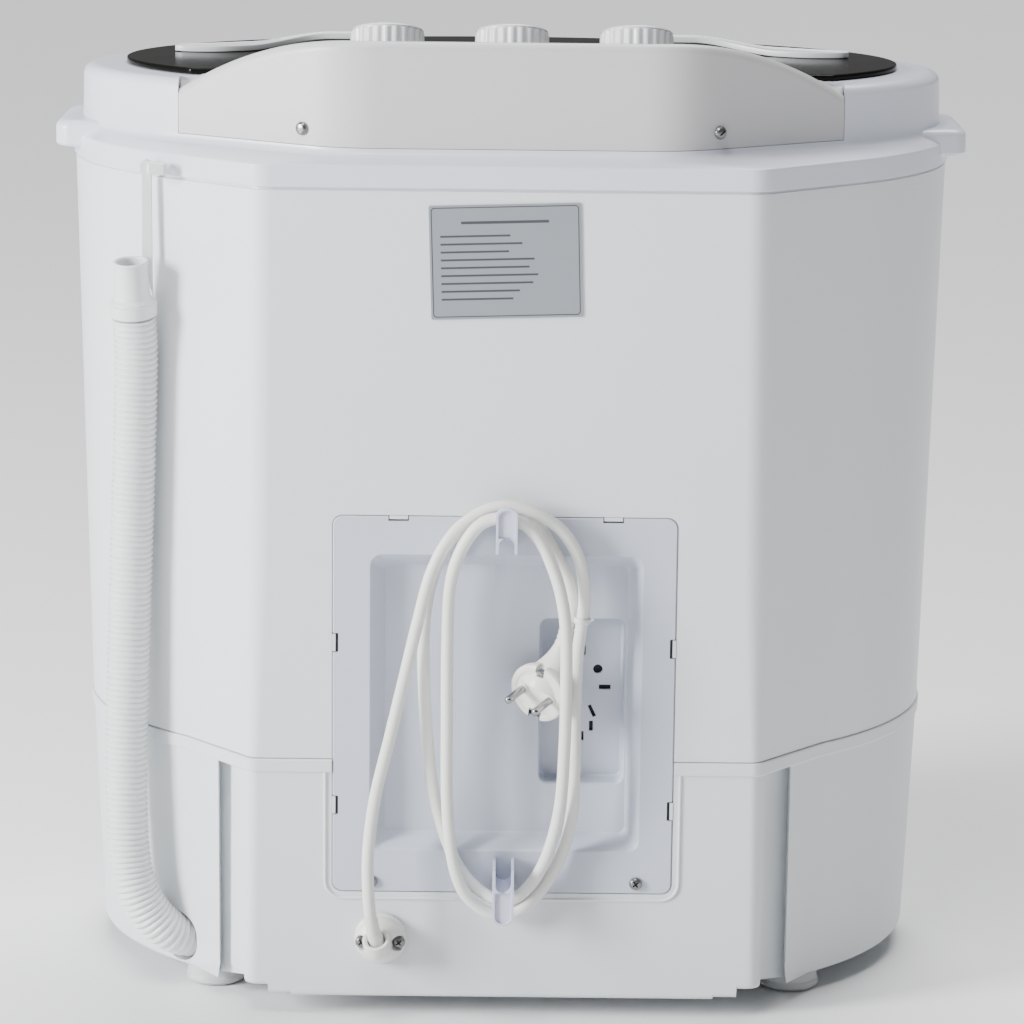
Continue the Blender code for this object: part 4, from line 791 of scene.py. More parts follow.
def make_hanger():
    """The strap from the cuff up to the flange, with its clip."""
    y = rear(0.0490)
    outline = strap_outline(0.0)
    inner = strap_outline(-0.0004)
    layers = ((inner, -0.0012), (outline, -0.0008), (outline, 0.0008), (inner, 0.0012))
    strap = loft("hose_strap", [[(x, y + t, z) for x, z in points] for points, t in layers], M_HOSE)
    hole = [(0.0137, -0.004), (0.0137, 0.0116), (0.0106, 0.040)]
    cut(strap, turned("cut_hose_end", hole, hose_foot(), None, SPOUT_LEAN, 48))
    ring = rounded_turn([(0.0134, 0.0016), (0.0143, 0.0016), (0.0143, 0.0092), (0.0134, 0.0092)], 0.0004, 2)
    collar = turned("strap_collar", ring, hose_foot(), M_HOSE, SPOUT_LEAN, closed=True)
    clip = box("strap_clip", (0.2065, rear(0.0430), 0.5150), (0.2172, rear(0.0340), 0.5220), M_HOSE)
    soften(clip, 0.0012, 3)
    link_piece = box("strap_link", (0.2140, y - 0.0008, 0.5158), (0.2220, rear(0.0365), 0.5218), M_HOSE)
    soften(link_piece, 0.0006, 2)
    settle(strap, stands_for=["hose_hanger"])
    for piece in (collar, clip, link_piece):
        settle(piece)


def strap_outline(grow):
    left, right, low, high = 0.2158 - grow, 0.2222 + grow, 0.4290 - grow, 0.5230 + grow
    middle, half = (left + right) / 2, (right - left) / 2
    return [(middle + x, z) for x, z in half_round(half, 0.0036, high)] + [(left, low), (right, low)]


# ---- screws ---------------------------------------------------------------------------------
def make_screw(name, place, node, axis=(0, 1, 0), radius=0.0040):
    """A domed screw head whose cross recess is painted dark as shade."""
    axis = Vector(axis).normalized()
    dome = [(radius * 0.9, -0.0004), (radius, 0.0), (radius, 0.0009), (radius * 0.72, 0.0023),
            (radius * 0.2, 0.0027)]
    head = turned(name, rounded_turn(dome, 0.0004, 3), place, M_SCREW, axis, 32)
    # Second slot: painted shade for the cross recess.
    head.data.materials.append(M_PAINTED_SHADE)
    spin = axis.to_track_quat("Z", "Y").to_matrix()
    turn = Matrix.Rotation(math.radians(38), 3, "Z")

    def cross_bar(tag, width, height):
        def corner_at(corner):
            scale = 1.0 if corner.z > 0 else 0.6
            across, along = corner.x * 2 * width * scale, corner.y * 2 * height * scale
            return Vector(place) + spin @ (turn @ Vector((across, along, 0.0024 + corner.z * 0.0028)))
        bar = mapped_cube(tag, corner_at, M_SCREW)
        # The cutter's faces carry the painted shade into the cut recess.
        bar.data.materials.append(M_PAINTED_SHADE)
        bar.data.polygons.foreach_set("material_index", [1] * len(bar.data.polygons))
        return bar

    cut(head, cross_bar("cut_bar_1", 0.0026, 0.0006), cross_bar("cut_bar_2", 0.0006, 0.0026))
    settle(head, stands_for=[node], sharp=30)


def make_screws():
    slope = (wall_depth(0.130) - wall_depth(0.118)) / 0.012
    for i, side in enumerate((1, -1)):
        outward = Vector((side * slope, 1, 0)).normalized()
        place = Vector((side * 0.124, rear(wall_depth(0.124)), 0.545)) + outward * 0.0006
        make_screw(f"housing_phillips_{i + 1}", place, f"housing_screw_{i + 1}", outward)
        make_screw(f"cover_phillips_{i + 1}", (side * 0.081, rear(-COVER_PROUD - GAP), 0.0870),
                   f"cover_screw_{i + 1}")
        make_screw(f"clamp_phillips_{i + 1}", (CLAMP_SCREW_X[i], rear(-0.0063), CLAMP_SCREW_Z),
                   f"clamp_screw_{i + 1}")


# ---- shells ---------------------------------------------------------------------------------
def cover_holes():
    """Cutters for the access cover: its shallow seat, and the opening behind it."""
    centre = (COVER_X, COVER_BOTTOM + COVER_SIZE[1] / 2)
    half = (COVER_SIZE[0] / 2, COVER_SIZE[1] / 2)
    seat = [(0.0006, 0.0066, -0.01), (0.0006, 0.0066, 0.0019)]
    hole = [(-0.005, 0.002, -0.01), (-0.005, 0.002, 0.02)]
    return [dish("cut_cover_seat", centre, half, seat, steps=8),
            dish("cut_cover_hole", centre, half, hole, steps=8)]


def make_casing():
    low, high = JOINT_Z, CASING_TOP
    rows = [(low, -0.0006), (low + 0.0005, 0)]
    rows += [(low + (high - low) * i / 10, 0) for i in range(1, 10)]
    rows += [(high - 0.0016, 0), (high - 0.0012, -0.0012), (high, -0.0014), (high, -WALL), (low, -WALL)]
    shell = loft("casing_shell", [body_level(z, grow) for z, grow in rows], M_CASING, closed=True)
    patch = slab("cut_patch", [(round_rect(0.0595, 0.051, 0.009, 8, PATCH_AT), -0.004),
                               (round_rect(0.0595, 0.051, 0.009, 8, PATCH_AT), 0.0),
                               (round_rect(0.0583, 0.0498, 0.008, 8, PATCH_AT), 0.00035)])
    cut(shell, *cover_holes(), patch)
    settle(shell, stands_for=["outer_casing"], sharp=30)


def make_base():
    """The lower casing: two channels, a lip at the joint, stepped lower corners and the hose's arch."""
    lip = JOINT_Z - LIP_HEIGHT
    top = JOINT_Z - GAP
    deep = CHANNEL_DEPTH
    rows = [(FOOT_HEIGHT, -0.0030, deep), (FOOT_HEIGHT + 0.0006, -0.0014, deep),
            (FOOT_HEIGHT + 0.0018, -0.0004, deep), (FOOT_HEIGHT + 0.0035, 0, deep), (0.045, 0, deep),
            (0.080, 0, deep), (0.115, 0, deep), (lip - 0.0012, 0, deep), (lip - 0.0007, 0, 0.0),
            (lip - 0.0004, LIP_PROUD * 0.7, 0.0), (lip + 0.0002, LIP_PROUD, 0.0),
            (top - 0.0006, LIP_PROUD, 0.0), (top, LIP_PROUD - 0.0005, 0.0), (top, -WALL, 0.0),
            (lip + 0.003, -WALL, 0.0), (lip + 0.0025, -WALL, deep), (FOOT_HEIGHT + WALL, -WALL, deep)]
    base = loft("base_shell", [body_level(z, grow, channel) for z, grow, channel in rows], M_BASE)
    start, end = Vector((0.226, rear(0.030), 0.031)), Vector((0.184, rear(0.086), 0.030))
    bore = [(ARCH_RADIUS, 0), (ARCH_RADIUS, (end - start).length)]
    arch = turned("cut_arch", bore, start, None, end - start, 40)
    cut(base, *cover_holes(), arch)
    inner_step, outer_step = [step + CREASE / 2 for step in STEP_EDGES]
    for vert in base.data.vertices:
        across = abs(vert.co.x)
        if vert.co.z < FOOT_HEIGHT + 0.0045 and vert.co.y > 0.1 and across < CHANNEL_TO + 0.0005:
            if across > outer_step:
                vert.co.z += STEP_RISES[1]
            elif across > inner_step:
                vert.co.z += STEP_RISES[0]
    settle(base, stands_for=["base_housing"], sharp=30)


def lug(name, side):
    """One side handle with rounded edges, in layers."""
    def outline(grow):
        tip = HANDLE_TIP + grow
        back, front = OVAL_Y + 0.049 + grow, OVAL_Y - 0.043 - grow
        root_back, root_front = (0.244, back + 0.009), (0.244, front - 0.009)
        half = [root_back] + fillet(root_back, (tip, back), (tip, OVAL_Y), 0.012, 10)
        half += fillet((tip, OVAL_Y), (tip, front), root_front, 0.012, 10) + [root_front]
        return [(side * x, y) for x, y in half]
    low, high = HANDLE_Z
    layers = [(low, -0.0024), (low + 0.0006, -0.0010), (low + 0.0020, 0), (high - 0.0050, 0),
              (high - 0.0030, -0.0003), (high - 0.0014, -0.0014), (high - 0.0004, -0.0032), (high, -0.0054)]
    return loft(name, [at_height(outline(g), z) for z, g in layers])


def make_top():
    edge = [(FLANGE_TOP - 0.0013, 0.0), (FLANGE_TOP - 0.0006, 0.0002), (FLANGE_TOP - 0.0001, 0.0007),
            (FLANGE_TOP + 0.0001, 0.0015)]
    wall = [(SHOULDER_Z - 0.0042, 0.0048), (SHOULDER_Z - 0.0026, 0.0016), (SHOULDER_Z - 0.0006, 0.0004),
            (SHOULDER_Z + 0.004, 0.0), (DECK_Z - 0.0060, -0.0006), (DECK_Z - 0.0036, -0.0014),
            (DECK_Z - 0.0018, -0.0030), (DECK_Z - 0.0006, -0.0056), (DECK_Z, -0.0092)]
    outer = [body_level(CASING_TOP + GAP, FLANGE_PROUD - 0.0003),
             body_level(CASING_TOP + GAP + 0.0003, FLANGE_PROUD)]
    outer += [body_ring(z, HALF_WIDTH, PAD_TOP_HALF, FLANGE_PROUD - inset) for z, inset in edge]
    outer += [cover_ring(z, grow) for z, grow in wall]
    cover = loft("top_shell", outer, M_TOP)
    cut(cover, lug("join_lug_a", 1), lug("join_lug_b", -1), operation="UNION")
    inner = [body_ring(z, HALF_WIDTH, PAD_TOP_HALF, -0.0035) for z in (0.500, FLANGE_TOP - 0.003)]
    inner += [cover_ring(z, grow) for z, grow in ((SHOULDER_Z - 0.003, -0.003), (DECK_Z - 0.011, -0.004),
                                                  (DECK_Z - 0.006, -0.008), (DECK_Z - 0.003, -0.016))]
    mouth = lid_outline(0.015, -1, 0.014)
    through = (0.54, 0.60)
    cut(cover, loft("cut_inside", inner),
        box("cut_seat", (-HUMP_HALF - GAP, rear(HUMP_FRONT_DEPTH + GAP), SHOULDER_Z + 0.001),
            (HUMP_HALF + GAP, rear(-0.02), 0.7)),
        loft("cut_wash_mouth", [at_height(mouth, z) for z in through]),
        turned("cut_spin_mouth", [(SPIN_MOUTH_R, z) for z in through], (SPIN_X, rear(SPIN_DEPTH), 0), None,
               count=96))
    settle(cover, stands_for=["top_cover"], sharp=38)


# ---- controls -------------------------------------------------------------------------------
WALL_LINE = half_plan(COVER_HALF_WIDTH, COVER_REAR, COVER_FRONT, COVER_FLAT_HALF, COVER_FLAT_DEPTH,
                      COVER_HALF_WIDTH * COVER_JOIN, COVER_RADIUS, None)


def wall_depth(x):
    """How deep the top cover's wall lies behind the rear plane at x."""
    x = abs(x)
    if x <= WALL_LINE[0][0]:
        return COVER_FLAT_DEPTH
    for (x0, y0), (x1, y1) in zip(WALL_LINE, WALL_LINE[1:]):
        if x <= x1:
            return REAR_Y - (y0 + (y1 - y0) * (x - x0) / (x1 - x0))
    return REAR_Y - WALL_LINE[-1][1]


def ridge_height(x):
    past = max(abs(x) - HUMP_FLAT_HALF, 0) / (HUMP_HALF - HUMP_FLAT_HALF)
    return HUMP_TOP - HUMP_DROP * past * past


def fascia_plane(x):
    ridge = ridge_height(x)
    depth = wall_depth(x) + 0.013
    plane = 0.5916 - (depth - 0.025) * math.tan(FASCIA_SLOPE)
    front = min(0.5695, max(ridge, 0.566))
    return (depth, min(ridge - 0.001, plane)), (HUMP_FRONT_DEPTH, front)


def surface_at(x, depth):
    (d0, z0), (d1, z1) = fascia_plane(x)
    return z0 + (z1 - z0) * (depth - d0) / (d1 - d0)


def hump_section(x, wall=0.0, bottom=HUMP_BOTTOM):
    """One section of the hump, up its rear face, over the ridge, down the dial panel and its front edge."""
    depth = wall_depth(x) + wall
    ridge = ridge_height(x) - wall
    back, front = fascia_plane(x)
    points = [(depth, bottom), (depth, bottom + 0.004)]
    radius = 0.0052
    for i in range(7):
        angle = math.pi / 2 * i / 6
        points.append((depth + radius - radius * math.cos(angle), ridge - radius + radius * math.sin(angle)))
    top_end = back[0] - 0.0028 - wall * 0.5
    top_z = ridge - 0.0004
    points.append((top_end, top_z))
    drop = max(top_z - (back[1] - wall), 0.0006)
    quarter = [math.pi / 2 * i / 4 for i in range(1, 5)]
    for angle in quarter:
        points.append((top_end + 0.0022 * math.sin(angle), top_z - drop * 0.5 * (1 - math.cos(angle))))
    points.append((back[0] - wall * 0.5, back[1] - wall))
    radius = 0.0022
    slope = (front[1] - back[1]) / (front[0] - back[0])
    nose, nose_z = front[0] - wall - radius, front[1] - wall - radius
    points.append((nose, front[1] - wall - slope * radius * 0.5))
    for angle in quarter:
        points.append((nose + radius * math.sin(angle), nose_z + radius * math.cos(angle)))
    points.append((front[0] - wall, bottom))
    return points


def hump_rings(half, wall, bottom, steps):
    rings = []
    for i in range(steps + 1):
        x = half * (2 * i / steps - 1)
        rings.append([(x, rear(d), z) for d, z in hump_section(x, wall, bottom)])
    return rings


def fascia_rings(half, margin, below, above, steps=60):
    rings = []
    for i in range(steps + 1):
        x = half * (2 * i / steps - 1)
        d0 = wall_depth(x) + 0.017 - margin
        d1 = HUMP_FRONT_DEPTH - 0.006 + margin
        rings.append([(x, rear(d), surface_at(x, d) + lift)
                      for d, lift in ((d0, -below), (d0, above), (d1, above), (d1, -below))])
    return rings


def knob_axis():
    return Vector((0, -math.sin(FASCIA_SLOPE), math.cos(FASCIA_SLOPE)))


def knob_foot(index):
    x = (1 - index) * KNOB_PITCH
    return Vector((x, rear(KNOB_DEPTH), surface_at(x, KNOB_DEPTH)))


def shaft_cutters(tag):
    through = [(SHAFT_HOLE, -0.02), (SHAFT_HOLE, 0.02)]
    return [turned(f"{tag}{i}", through, knob_foot(i), None, knob_axis(), 32) for i in range(3)]


def make_controls():
    housing = loft("control_hump", hump_rings(HUMP_HALF, 0.0, HUMP_BOTTOM, 120), M_HUMP)
    soften(housing, 0.0012, 3, 60)
    inner = loft("cut_hump_inside", hump_rings(HUMP_HALF - WALL, WALL, 0.52, 40))
    seat = loft("cut_fascia_seat", fascia_rings(FASCIA_HALF + GAP, GAP, FASCIA_THICK + GAP, 0.02))
    cut(housing, inner, seat, *shaft_cutters("cut_housing_"))
    settle(housing, stands_for=["control_housing"], sharp=38)
    panel = loft("dial_panel", fascia_rings(FASCIA_HALF, 0, FASCIA_THICK, 0.0), M_FASCIA)
    cut(panel, *shaft_cutters("cut_panel_"))
    settle(panel, stands_for=["control_fascia"], sharp=38)
    axis = knob_axis()
    for index, name in enumerate(("spin_timer", "drain_selector", "wash_timer")):
        make_knob(name, index, axis)
        make_ticks(name, index, axis)


def make_knob(name, index, axis):
    """A dial with a foot flange, a fluted skirt, a chamfered cap and a raised pointer."""
    centre = knob_foot(index)
    spin = axis.to_track_quat("Z", "Y")
    levels = [(0.0009, 0.0222, 0), (0.0013, KNOB_RADIUS, 0), (0.0026, KNOB_RADIUS, 0), (0.0031, 0.0224, 0),
              (0.0035, 0.0223, 0.0006), (0.0042, 0.0223, 0.0012), (0.0146, 0.0220, 0.0012),
              (0.0154, 0.0219, 0.0009), (0.0159, 0.0217, 0.0003), (0.0161, 0.0211, 0), (0.0165, 0.0211, 0),
              (0.0167, 0.0216, 0), (0.0173, 0.0213, 0), (0.0178, 0.0205, 0), (0.0182, 0.0190, 0),
              (0.0184, 0.0150, 0), (0.0186, 0.0080, 0), (0.0187, 0.0020, 0)]
    rings = []
    for height, radius, flute in levels:
        ring = []
        for angle in angles(KNOB_POINTS):
            reach = radius - flute * (0.5 - 0.5 * math.cos(KNOB_FLUTES * angle)) ** 1.4
            ring.append(centre + spin @ Vector((reach * math.cos(angle), reach * math.sin(angle), height)))
        rings.append(ring)
    dial = loft(f"{name}_dial", rings, M_KNOB)
    settle(dial, f"{name}_knob", [f"{name}_knob"], 50)

    def bar(corner):
        local = (corner.x * 0.0016, 0.0062 + corner.y * 0.0120, 0.0182 + corner.z * 0.0012)
        return centre + spin @ Vector(local)

    mark = soften(mapped_cube(f"{name}_pointer", bar, M_KNOB_MARK), 0.0003, 2)
    settle(mark, f"{name}_knob")


def make_ticks(name, index, axis):
    """Printed marks round a dial, as a thin raised skin on the panel."""
    centre = knob_foot(index)
    spin = axis.to_track_quat("Z", "Y")
    bm = bmesh.new()
    total = 4 if name == "drain_selector" else 16
    for i in range(total):
        angle = math.radians(-60 + 300 * i / (total - 1) - 90)
        long = 0.0032 if i % 5 == 0 or total == 4 else 0.0020
        verts = []
        for r, w in ((0.0244, -0.00035), (0.0244, 0.00035), (0.0244 + long, 0.00035),
                     (0.0244 + long, -0.00035)):
            local = Vector((r * math.cos(angle) - w * math.sin(angle),
                            r * math.sin(angle) + w * math.cos(angle), 0.00015))
            verts.append(centre + spin @ local)
        low = [bm.verts.new(v - axis * 0.0006) for v in verts]
        high = [bm.verts.new(v) for v in verts]
        for k in range(4):
            bm.faces.new((low[k], low[(k + 1) % 4], high[(k + 1) % 4], high[k]))
        bm.faces.new(high)
        bm.faces.new(low)
    marks = link(f"{name}_marks", bm, M_MARK)
    settle(marks)


# ---- lids -----------------------------------------------------------------------------------
def ease(x, start, end):
    share = min(max((x - start) / (end - start), 0), 1)
    return share * share * (3 - 2 * share)


def grip_rise(x):
    """How far the grip stands off its window: an arched arm between its small foot and its pad."""
    return GRIP_RISE * ease(x, 0.066, 0.084) * (1 - ease(x, 0.116, 0.168))


def grip_depths(x):
    """Rear and front edges of the grip: a narrow arm that broadens to a pad with a rounded end."""
    rear_edge = GRIP_REAR[0] + (GRIP_REAR[1] - GRIP_REAR[0]) * ease(x, 0.118, 0.194)
    front_edge = GRIP_FRONT[0] + (GRIP_FRONT[1] - GRIP_FRONT[0]) * ease(x, 0.132, 0.222)
    past = max((x - 0.196) / 0.019, 0)
    pull = 0.0065 * (1 - math.sqrt(1 - past * past))
    return rear_edge + pull, front_edge - pull * 0.6


def make_lid(name, side):
    layers = [(LID_Z[0], 0.0010), (LID_Z[0] + 0.0004, 0.0002), (LID_Z[0] + 0.0010, 0), (LID_Z[1] - 0.0012, 0),
              (LID_Z[1] - 0.0004, 0.0003), (LID_Z[1], 0.0012)]
    window = loft(f"{name}_window", [at_height(lid_outline(inset, side, 0.007), z) for z, inset in layers],
                  M_SMOKED)
    settle(window, name, [name])
    for i, x in enumerate((0.035, 0.165)):
        profile = rounded_turn([(0.0008, -0.012), (0.0029, -0.012), (0.0029, 0.012), (0.0008, 0.012)],
                               0.0006, 2)
        barrel = turned(f"{name}_barrel_{i + 1}", profile, (side * x, rear(HINGE_DEPTH), HINGE_Z), M_SMOKED,
                        (1, 0, 0), 24)
        settle(barrel, name)
    rings = []
    steps = 70
    for i in range(steps + 1):
        x = GRIP_X[0] + (GRIP_X[1] - GRIP_X[0]) * i / steps
        base = LID_Z[1] + GAP + grip_rise(x)
        back, front = grip_depths(x)
        top = base + GRIP_THICK
        section = [(back + 0.0003, base), (back, base + 0.0004), (back, top - 0.0009),
                   (back + 0.0003, top - 0.0002), (back + 0.0010, top), (back + 0.0019, top - 0.0002),
                   (back + 0.0024, top - 0.0008), (front - 0.0024, top - 0.0008),
                   (front - 0.0019, top - 0.0002), (front - 0.0010, top), (front - 0.0003, top - 0.0002),
                   (front, top - 0.0009), (front, base + 0.0004), (front - 0.0003, base)]
        rings.append([(side * x, rear(d), z) for d, z in section])
    grip = loft(f"{name}_handle", rings, M_GRIP)
    soften(grip, 0.0005, 2, 60)
    settle(grip, name, [f"{name}_grip"])


# ---- rear fittings --------------------------------------------------------------------------
def make_access_cover():
    """The dished cover with its deeper pocket, pocket slots, and snap tabs at its edges."""
    at = (COVER_X, COVER_BOTTOM + COVER_SIZE[1] / 2)
    half = (COVER_SIZE[0] / 2, COVER_SIZE[1] / 2)
    pocket_at = (sum(POCKET_X) / 2, sum(POCKET_Z) / 2)
    pocket_half = ((POCKET_X[1] - POCKET_X[0]) / 2, (POCKET_Z[1] - POCKET_Z[0]) / 2)
    skin = 0.002
    cover = dish("panel_shell", at, half, [(0, 0.006, COVER_PLATE - COVER_PROUD),
                                           (0, 0.006, 0.0005 - COVER_PROUD),
                                           (-0.0005, 0.0055, -COVER_PROUD)], M_PANEL, 8)
    recess = dish("join_recess", RECESS_AT, RECESS_HALF, [(skin, 0.006, 0.0004),
                                                          (skin - 0.007, 0.006, RECESS_DEPTH + skin)])
    pocket = dish("join_pocket", pocket_at, pocket_half, [(skin, 0.007, RECESS_DEPTH),
                                                          (skin, 0.007, POCKET_DEPTH + skin)])
    cut(cover, recess, pocket, operation="UNION")
    hollow = dish("cut_recess", RECESS_AT, RECESS_HALF, [
        (0.0012, 0.0075, -0.003), (0.0012, 0.0075, -COVER_PROUD), (-0.0004, 0.0065, 0.0010),
        (-0.0064, 0.0048, RECESS_DEPTH - 0.0012), (-0.0078, 0.0040, RECESS_DEPTH)])
    deep = dish("cut_pocket", pocket_at, pocket_half, [
        (0.0008, 0.0058, 0.002), (0.0008, 0.0058, RECESS_DEPTH), (0, 0.005, RECESS_DEPTH + 0.0010),
        (-0.0006, 0.0045, POCKET_DEPTH - 0.0012), (-0.0018, 0.0035, POCKET_DEPTH)])
    cut(cover, hollow, deep)
    through = [(0, 0.0004, -0.004), (0, 0.0004, 0.006)]
    edge_cuts = [dish(f"cut_notch_{i}", (x, z), (u, v), through, steps=2)
                 for i, (x, z, u, v) in enumerate(notches())]
    cut(cover, *pocket_slots(), *edge_cuts)
    settle(cover, stands_for=["access_cover"], sharp=32)
    # Painted shade: a dark plate behind the pocket's floor, seen through its hole and slots.
    back = dish("pocket_shadow", pocket_at, pocket_half, [(-0.004, 0.004, POCKET_DEPTH + 0.0034),
                                                          (-0.004, 0.004, POCKET_DEPTH + 0.0044)], M_PAINTED_SHADE)
    settle(back)
    make_snap_tabs()
    make_cover_rim()


def pocket_slots():
    """Cutters for the round hole and the five slots in the pocket's floor."""
    hole_x, hole_z = -0.0565, 0.2154
    hole_at = (hole_x, rear(POCKET_DEPTH), hole_z)
    cutters = [turned("cut_hole", [(0.0029, -0.01), (0.0029, 0.01)], hole_at, None, (0, 1, 0), 24)]
    slots = [(-0.0609, 0.2041, 0.0036, 0.0015, 0), (-0.0471, 0.2272, 0.0018, 0.0030, 0),
             (-0.0532, 0.1889, 0.0011, 0.0040, -25), (-0.0528, 0.1794, 0.0012, 0.0032, 0),
             (-0.0468, 0.1730, 0.0016, 0.0030, 0)]
    for i, (x, z, half_u, half_v, turn) in enumerate(slots):
        cos, sin = math.cos(math.radians(turn)), math.sin(math.radians(turn))
        outline = []
        for u, v in ((half_u, half_v), (-half_u, half_v), (-half_u, -half_v), (half_u, -half_v)):
            outline.append((x + u * cos - v * sin, z + u * sin + v * cos))
        cutters.append(slab(f"cut_slot_{i}", [(outline, POCKET_DEPTH - 0.004),
                                              (outline, POCKET_DEPTH + 0.006)]))
    return cutters


def make_snap_tabs():
    """In each notch of the cover's edge, a dark floor painted as shade, and the base's tab."""
    for i, (x, z, u, v) in enumerate(notches()):
        # Painted shade: a dark plate at the notch's floor makes the slit round the tab read dark.
        floor = [(0.0002, 0.0004, 0.00185), (0.0002, 0.0004, 0.00168)]
        shadow = dish(f"notch_shadow_{i + 1}", (x, z), (u, v), floor, M_PAINTED_SHADE, 2)
        settle(shadow)
        if u < v:
            at, half = (x + math.copysign(0.0008, x), z), (u - 0.0009, v - 0.0006)
        else:
            at, half = (x, z + 0.0005), (u - 0.0006, v - 0.0006)
        tab = dish(f"snap_tab_{i + 1}", at, half, [(0, 0.0003, 0.0016), (0, 0.0003, -0.0004)], M_BASE, 2)
        settle(tab)


def make_cover_rim():
    """The raised bead on the base that follows the cover's lower edge, up to the joint."""
    half_w, corner = COVER_SIZE[0] / 2 + 0.0046, 0.011
    low, high = COVER_BOTTOM - 0.0046, JOINT_Z - LIP_HEIGHT - 0.0004
    path = [(COVER_X + half_w, high), (COVER_X + half_w, low + corner)]
    for turn_x, start in ((1, 0), (-1, 270)):
        for i in range(9):
            angle = math.radians(start - 90 * i / 8)
            path.append((COVER_X + turn_x * (half_w - corner) + corner * math.cos(angle),
                         low + corner + corner * math.sin(angle)))
    path.append((COVER_X - half_w, high))
    points = [Vector((x, rear(-0.0001), z)) for x, z in path]
    rim = sweep("cover_rim", points, [0.0010] * len(points), M_BASE, 16)
    settle(rim, sharp=60)


def notches():
    """Centres and half sizes of the snap tabs at the access cover's edges."""
    half_w, half_h = COVER_SIZE[0] / 2, COVER_SIZE[1] / 2
    centre_z = COVER_BOTTOM + half_h
    left, right = COVER_X + half_w - 0.0014, COVER_X - half_w + 0.0014
    top = centre_z + half_h - 0.0012
    return [(0.0650, top, 0.0062, 0.0017), (-0.0640, top, 0.0062, 0.0017),
            (left, 0.2370, 0.0019, 0.0060), (left, 0.1350, 0.0019, 0.0060),
            (right, 0.2350, 0.0019, 0.0060), (right, 0.1330, 0.0019, 0.0060)]


def make_hook(name, node, low, high, up):
    """A cord hook: an arched arm off the panel, and a tongue with two rims. up is +1 or -1."""
    base = rear(-COVER_PROUD - GAP)
    tip = REAR_Y + HOOK_REACH
    root = low if up > 0 else high
    span = high - low
    arm = 0.0120 if up > 0 else 0.0165

    def plates(tag, outline, y_from, y_to, surface=None):
        rings = [[(x, y, root + up * share) for x, share in outline] for y in (y_from, y_to)]
        return loft(tag, rings, surface)

    tongue_shape = half_round(0.0065, 0.0045, span) + [(-0.0065, arm - 0.006), (0.0065, arm - 0.006)]
    tongue = plates(name, tongue_shape, tip - 0.0032, tip, M_HOOK)
    z_low, z_high = sorted((root, root + up * arm))
    cut(tongue, box("join_arm", (-0.0065, base, z_low), (0.0065, tip - 0.0004, z_high)), operation="UNION")
    dish_shape = half_round(0.0049, 0.0038, span - 0.0014) + [(-0.0049, arm - 0.0022), (0.0049, arm - 0.0022)]
    arch_shape = [(-0.0047, -0.004), (0.0047, -0.004)] + half_round(0.0047, 0.0044, arm - 0.0022)
    cut(tongue, plates("cut_dish", dish_shape, tip - 0.0016, tip + 0.002),
        plates("cut_arch", arch_shape, base - 0.004, tip + 0.004))
    soften(tongue, 0.0005, 2, 50)
    settle(tongue, stands_for=[node], sharp=35)


def make_label():
    """A foil plate with a border line and plain rules where text would be."""
    thick = 0.0005
    centre = Vector((0.0023, rear(-GAP - thick / 2), 0.4705))
    turn = Matrix.Rotation(math.radians(1.8), 4, "Y")

    def layer(name, levels, surface, node=None, closed=False):
        rings = [[centre + turn @ Vector((x, y, z)) for x, z in points] for points, y in levels]
        settle(loft(name, rings, surface, closed), stands_for=[node] if node else ())

    plate = round_rect(0.0450, 0.0340, 0.0012, 4)
    layer("label_plate", [(plate, -thick / 2), (plate, thick / 2)], M_FOIL, "rating_label")
    outer = round_rect(0.0438, 0.0328, 0.0022, 6)
    inner = round_rect(0.0432, 0.0322, 0.0017, 6)
    low, high = thick / 2 - 0.0001, thick / 2 + 0.00006
    layer("label_border", [(outer, low), (outer, high), (inner, high), (inner, low)], M_PRINT, closed=True)
    rows = [(0.0235, -0.0260, 0.0260, 0.0014)]
    ends = (0.0010, -0.0060, 0.0020, -0.0130, -0.0100, -0.0150, -0.0120, -0.0040, 0.0)
    rows += [(0.0155 - i * 0.0047, end - 0.004, 0.0385, 0.0010) for i, end in enumerate(ends)]
    for i, (z, x0, x1, half) in enumerate(rows):
        rise = half * 0.6
        rule = [(x0, z - rise), (x1, z - rise), (x1, z + rise), (x0, z + rise)]
        layer(f"label_rule_{i + 1}", [(rule, low), (rule, thick / 2 + 0.00005)], M_PRINT)


def make_clamp():
    centre = (CLAMP_X, rear(0), CLAMP_Z)
    shape = rounded_turn([(0.0150, 0.0003), (0.0160, 0.0010), (0.0160, 0.0036), (0.0146, 0.0044),
                          (0.0142, 0.0078), (0.0112, 0.0104), (0.0086, 0.0124), (0.0040, 0.0134)], 0.0009, 3)
    boss = turned("clamp_boss", shape, centre, M_PLUG, (0, 1, 0), 64)
    seats = [turned(f"cut_screw_{i}", [(0.0050, 0.0060), (0.0050, 0.020)], (x, rear(0), CLAMP_SCREW_Z), None,
                    (0, 1, 0), 32) for i, x in enumerate(CLAMP_SCREW_X)]
    cut(boss, *seats)
    soften(boss, 0.0004, 2, 50)
    settle(boss, stands_for=["cord_clamp"], sharp=38)
    route = smooth_route(millimetres(CORD_ROUTE[:6], 1), 0.0015)
    heading = (route[4] - route[0]).normalized()
    ring = rounded_turn([(0.0052, 0.0015), (0.0080, 0.0015), (0.0087, 0.0050), (0.0086, 0.0128),
                         (0.0079, 0.0136), (0.0060, 0.0130), (0.0052, 0.0100)], 0.0006, 2)
    cup = turned("lead_cup", ring, route[0], M_PLUG, heading, 48, closed=True)
    settle(cup)
    sleeve = [p for p in route if 0.006 < (p - route[0]).length < 0.031]
    count = len(sleeve)
    radii = [0.0048 - 0.0007 * i / (count - 1) - (0.0004 if i % 3 == 0 else 0) for i in range(count)]
    radii[-1] = 0.0040
    relief = sweep("lead_relief", sleeve, radii, M_PLUG, 28)
    settle(relief, sharp=60)


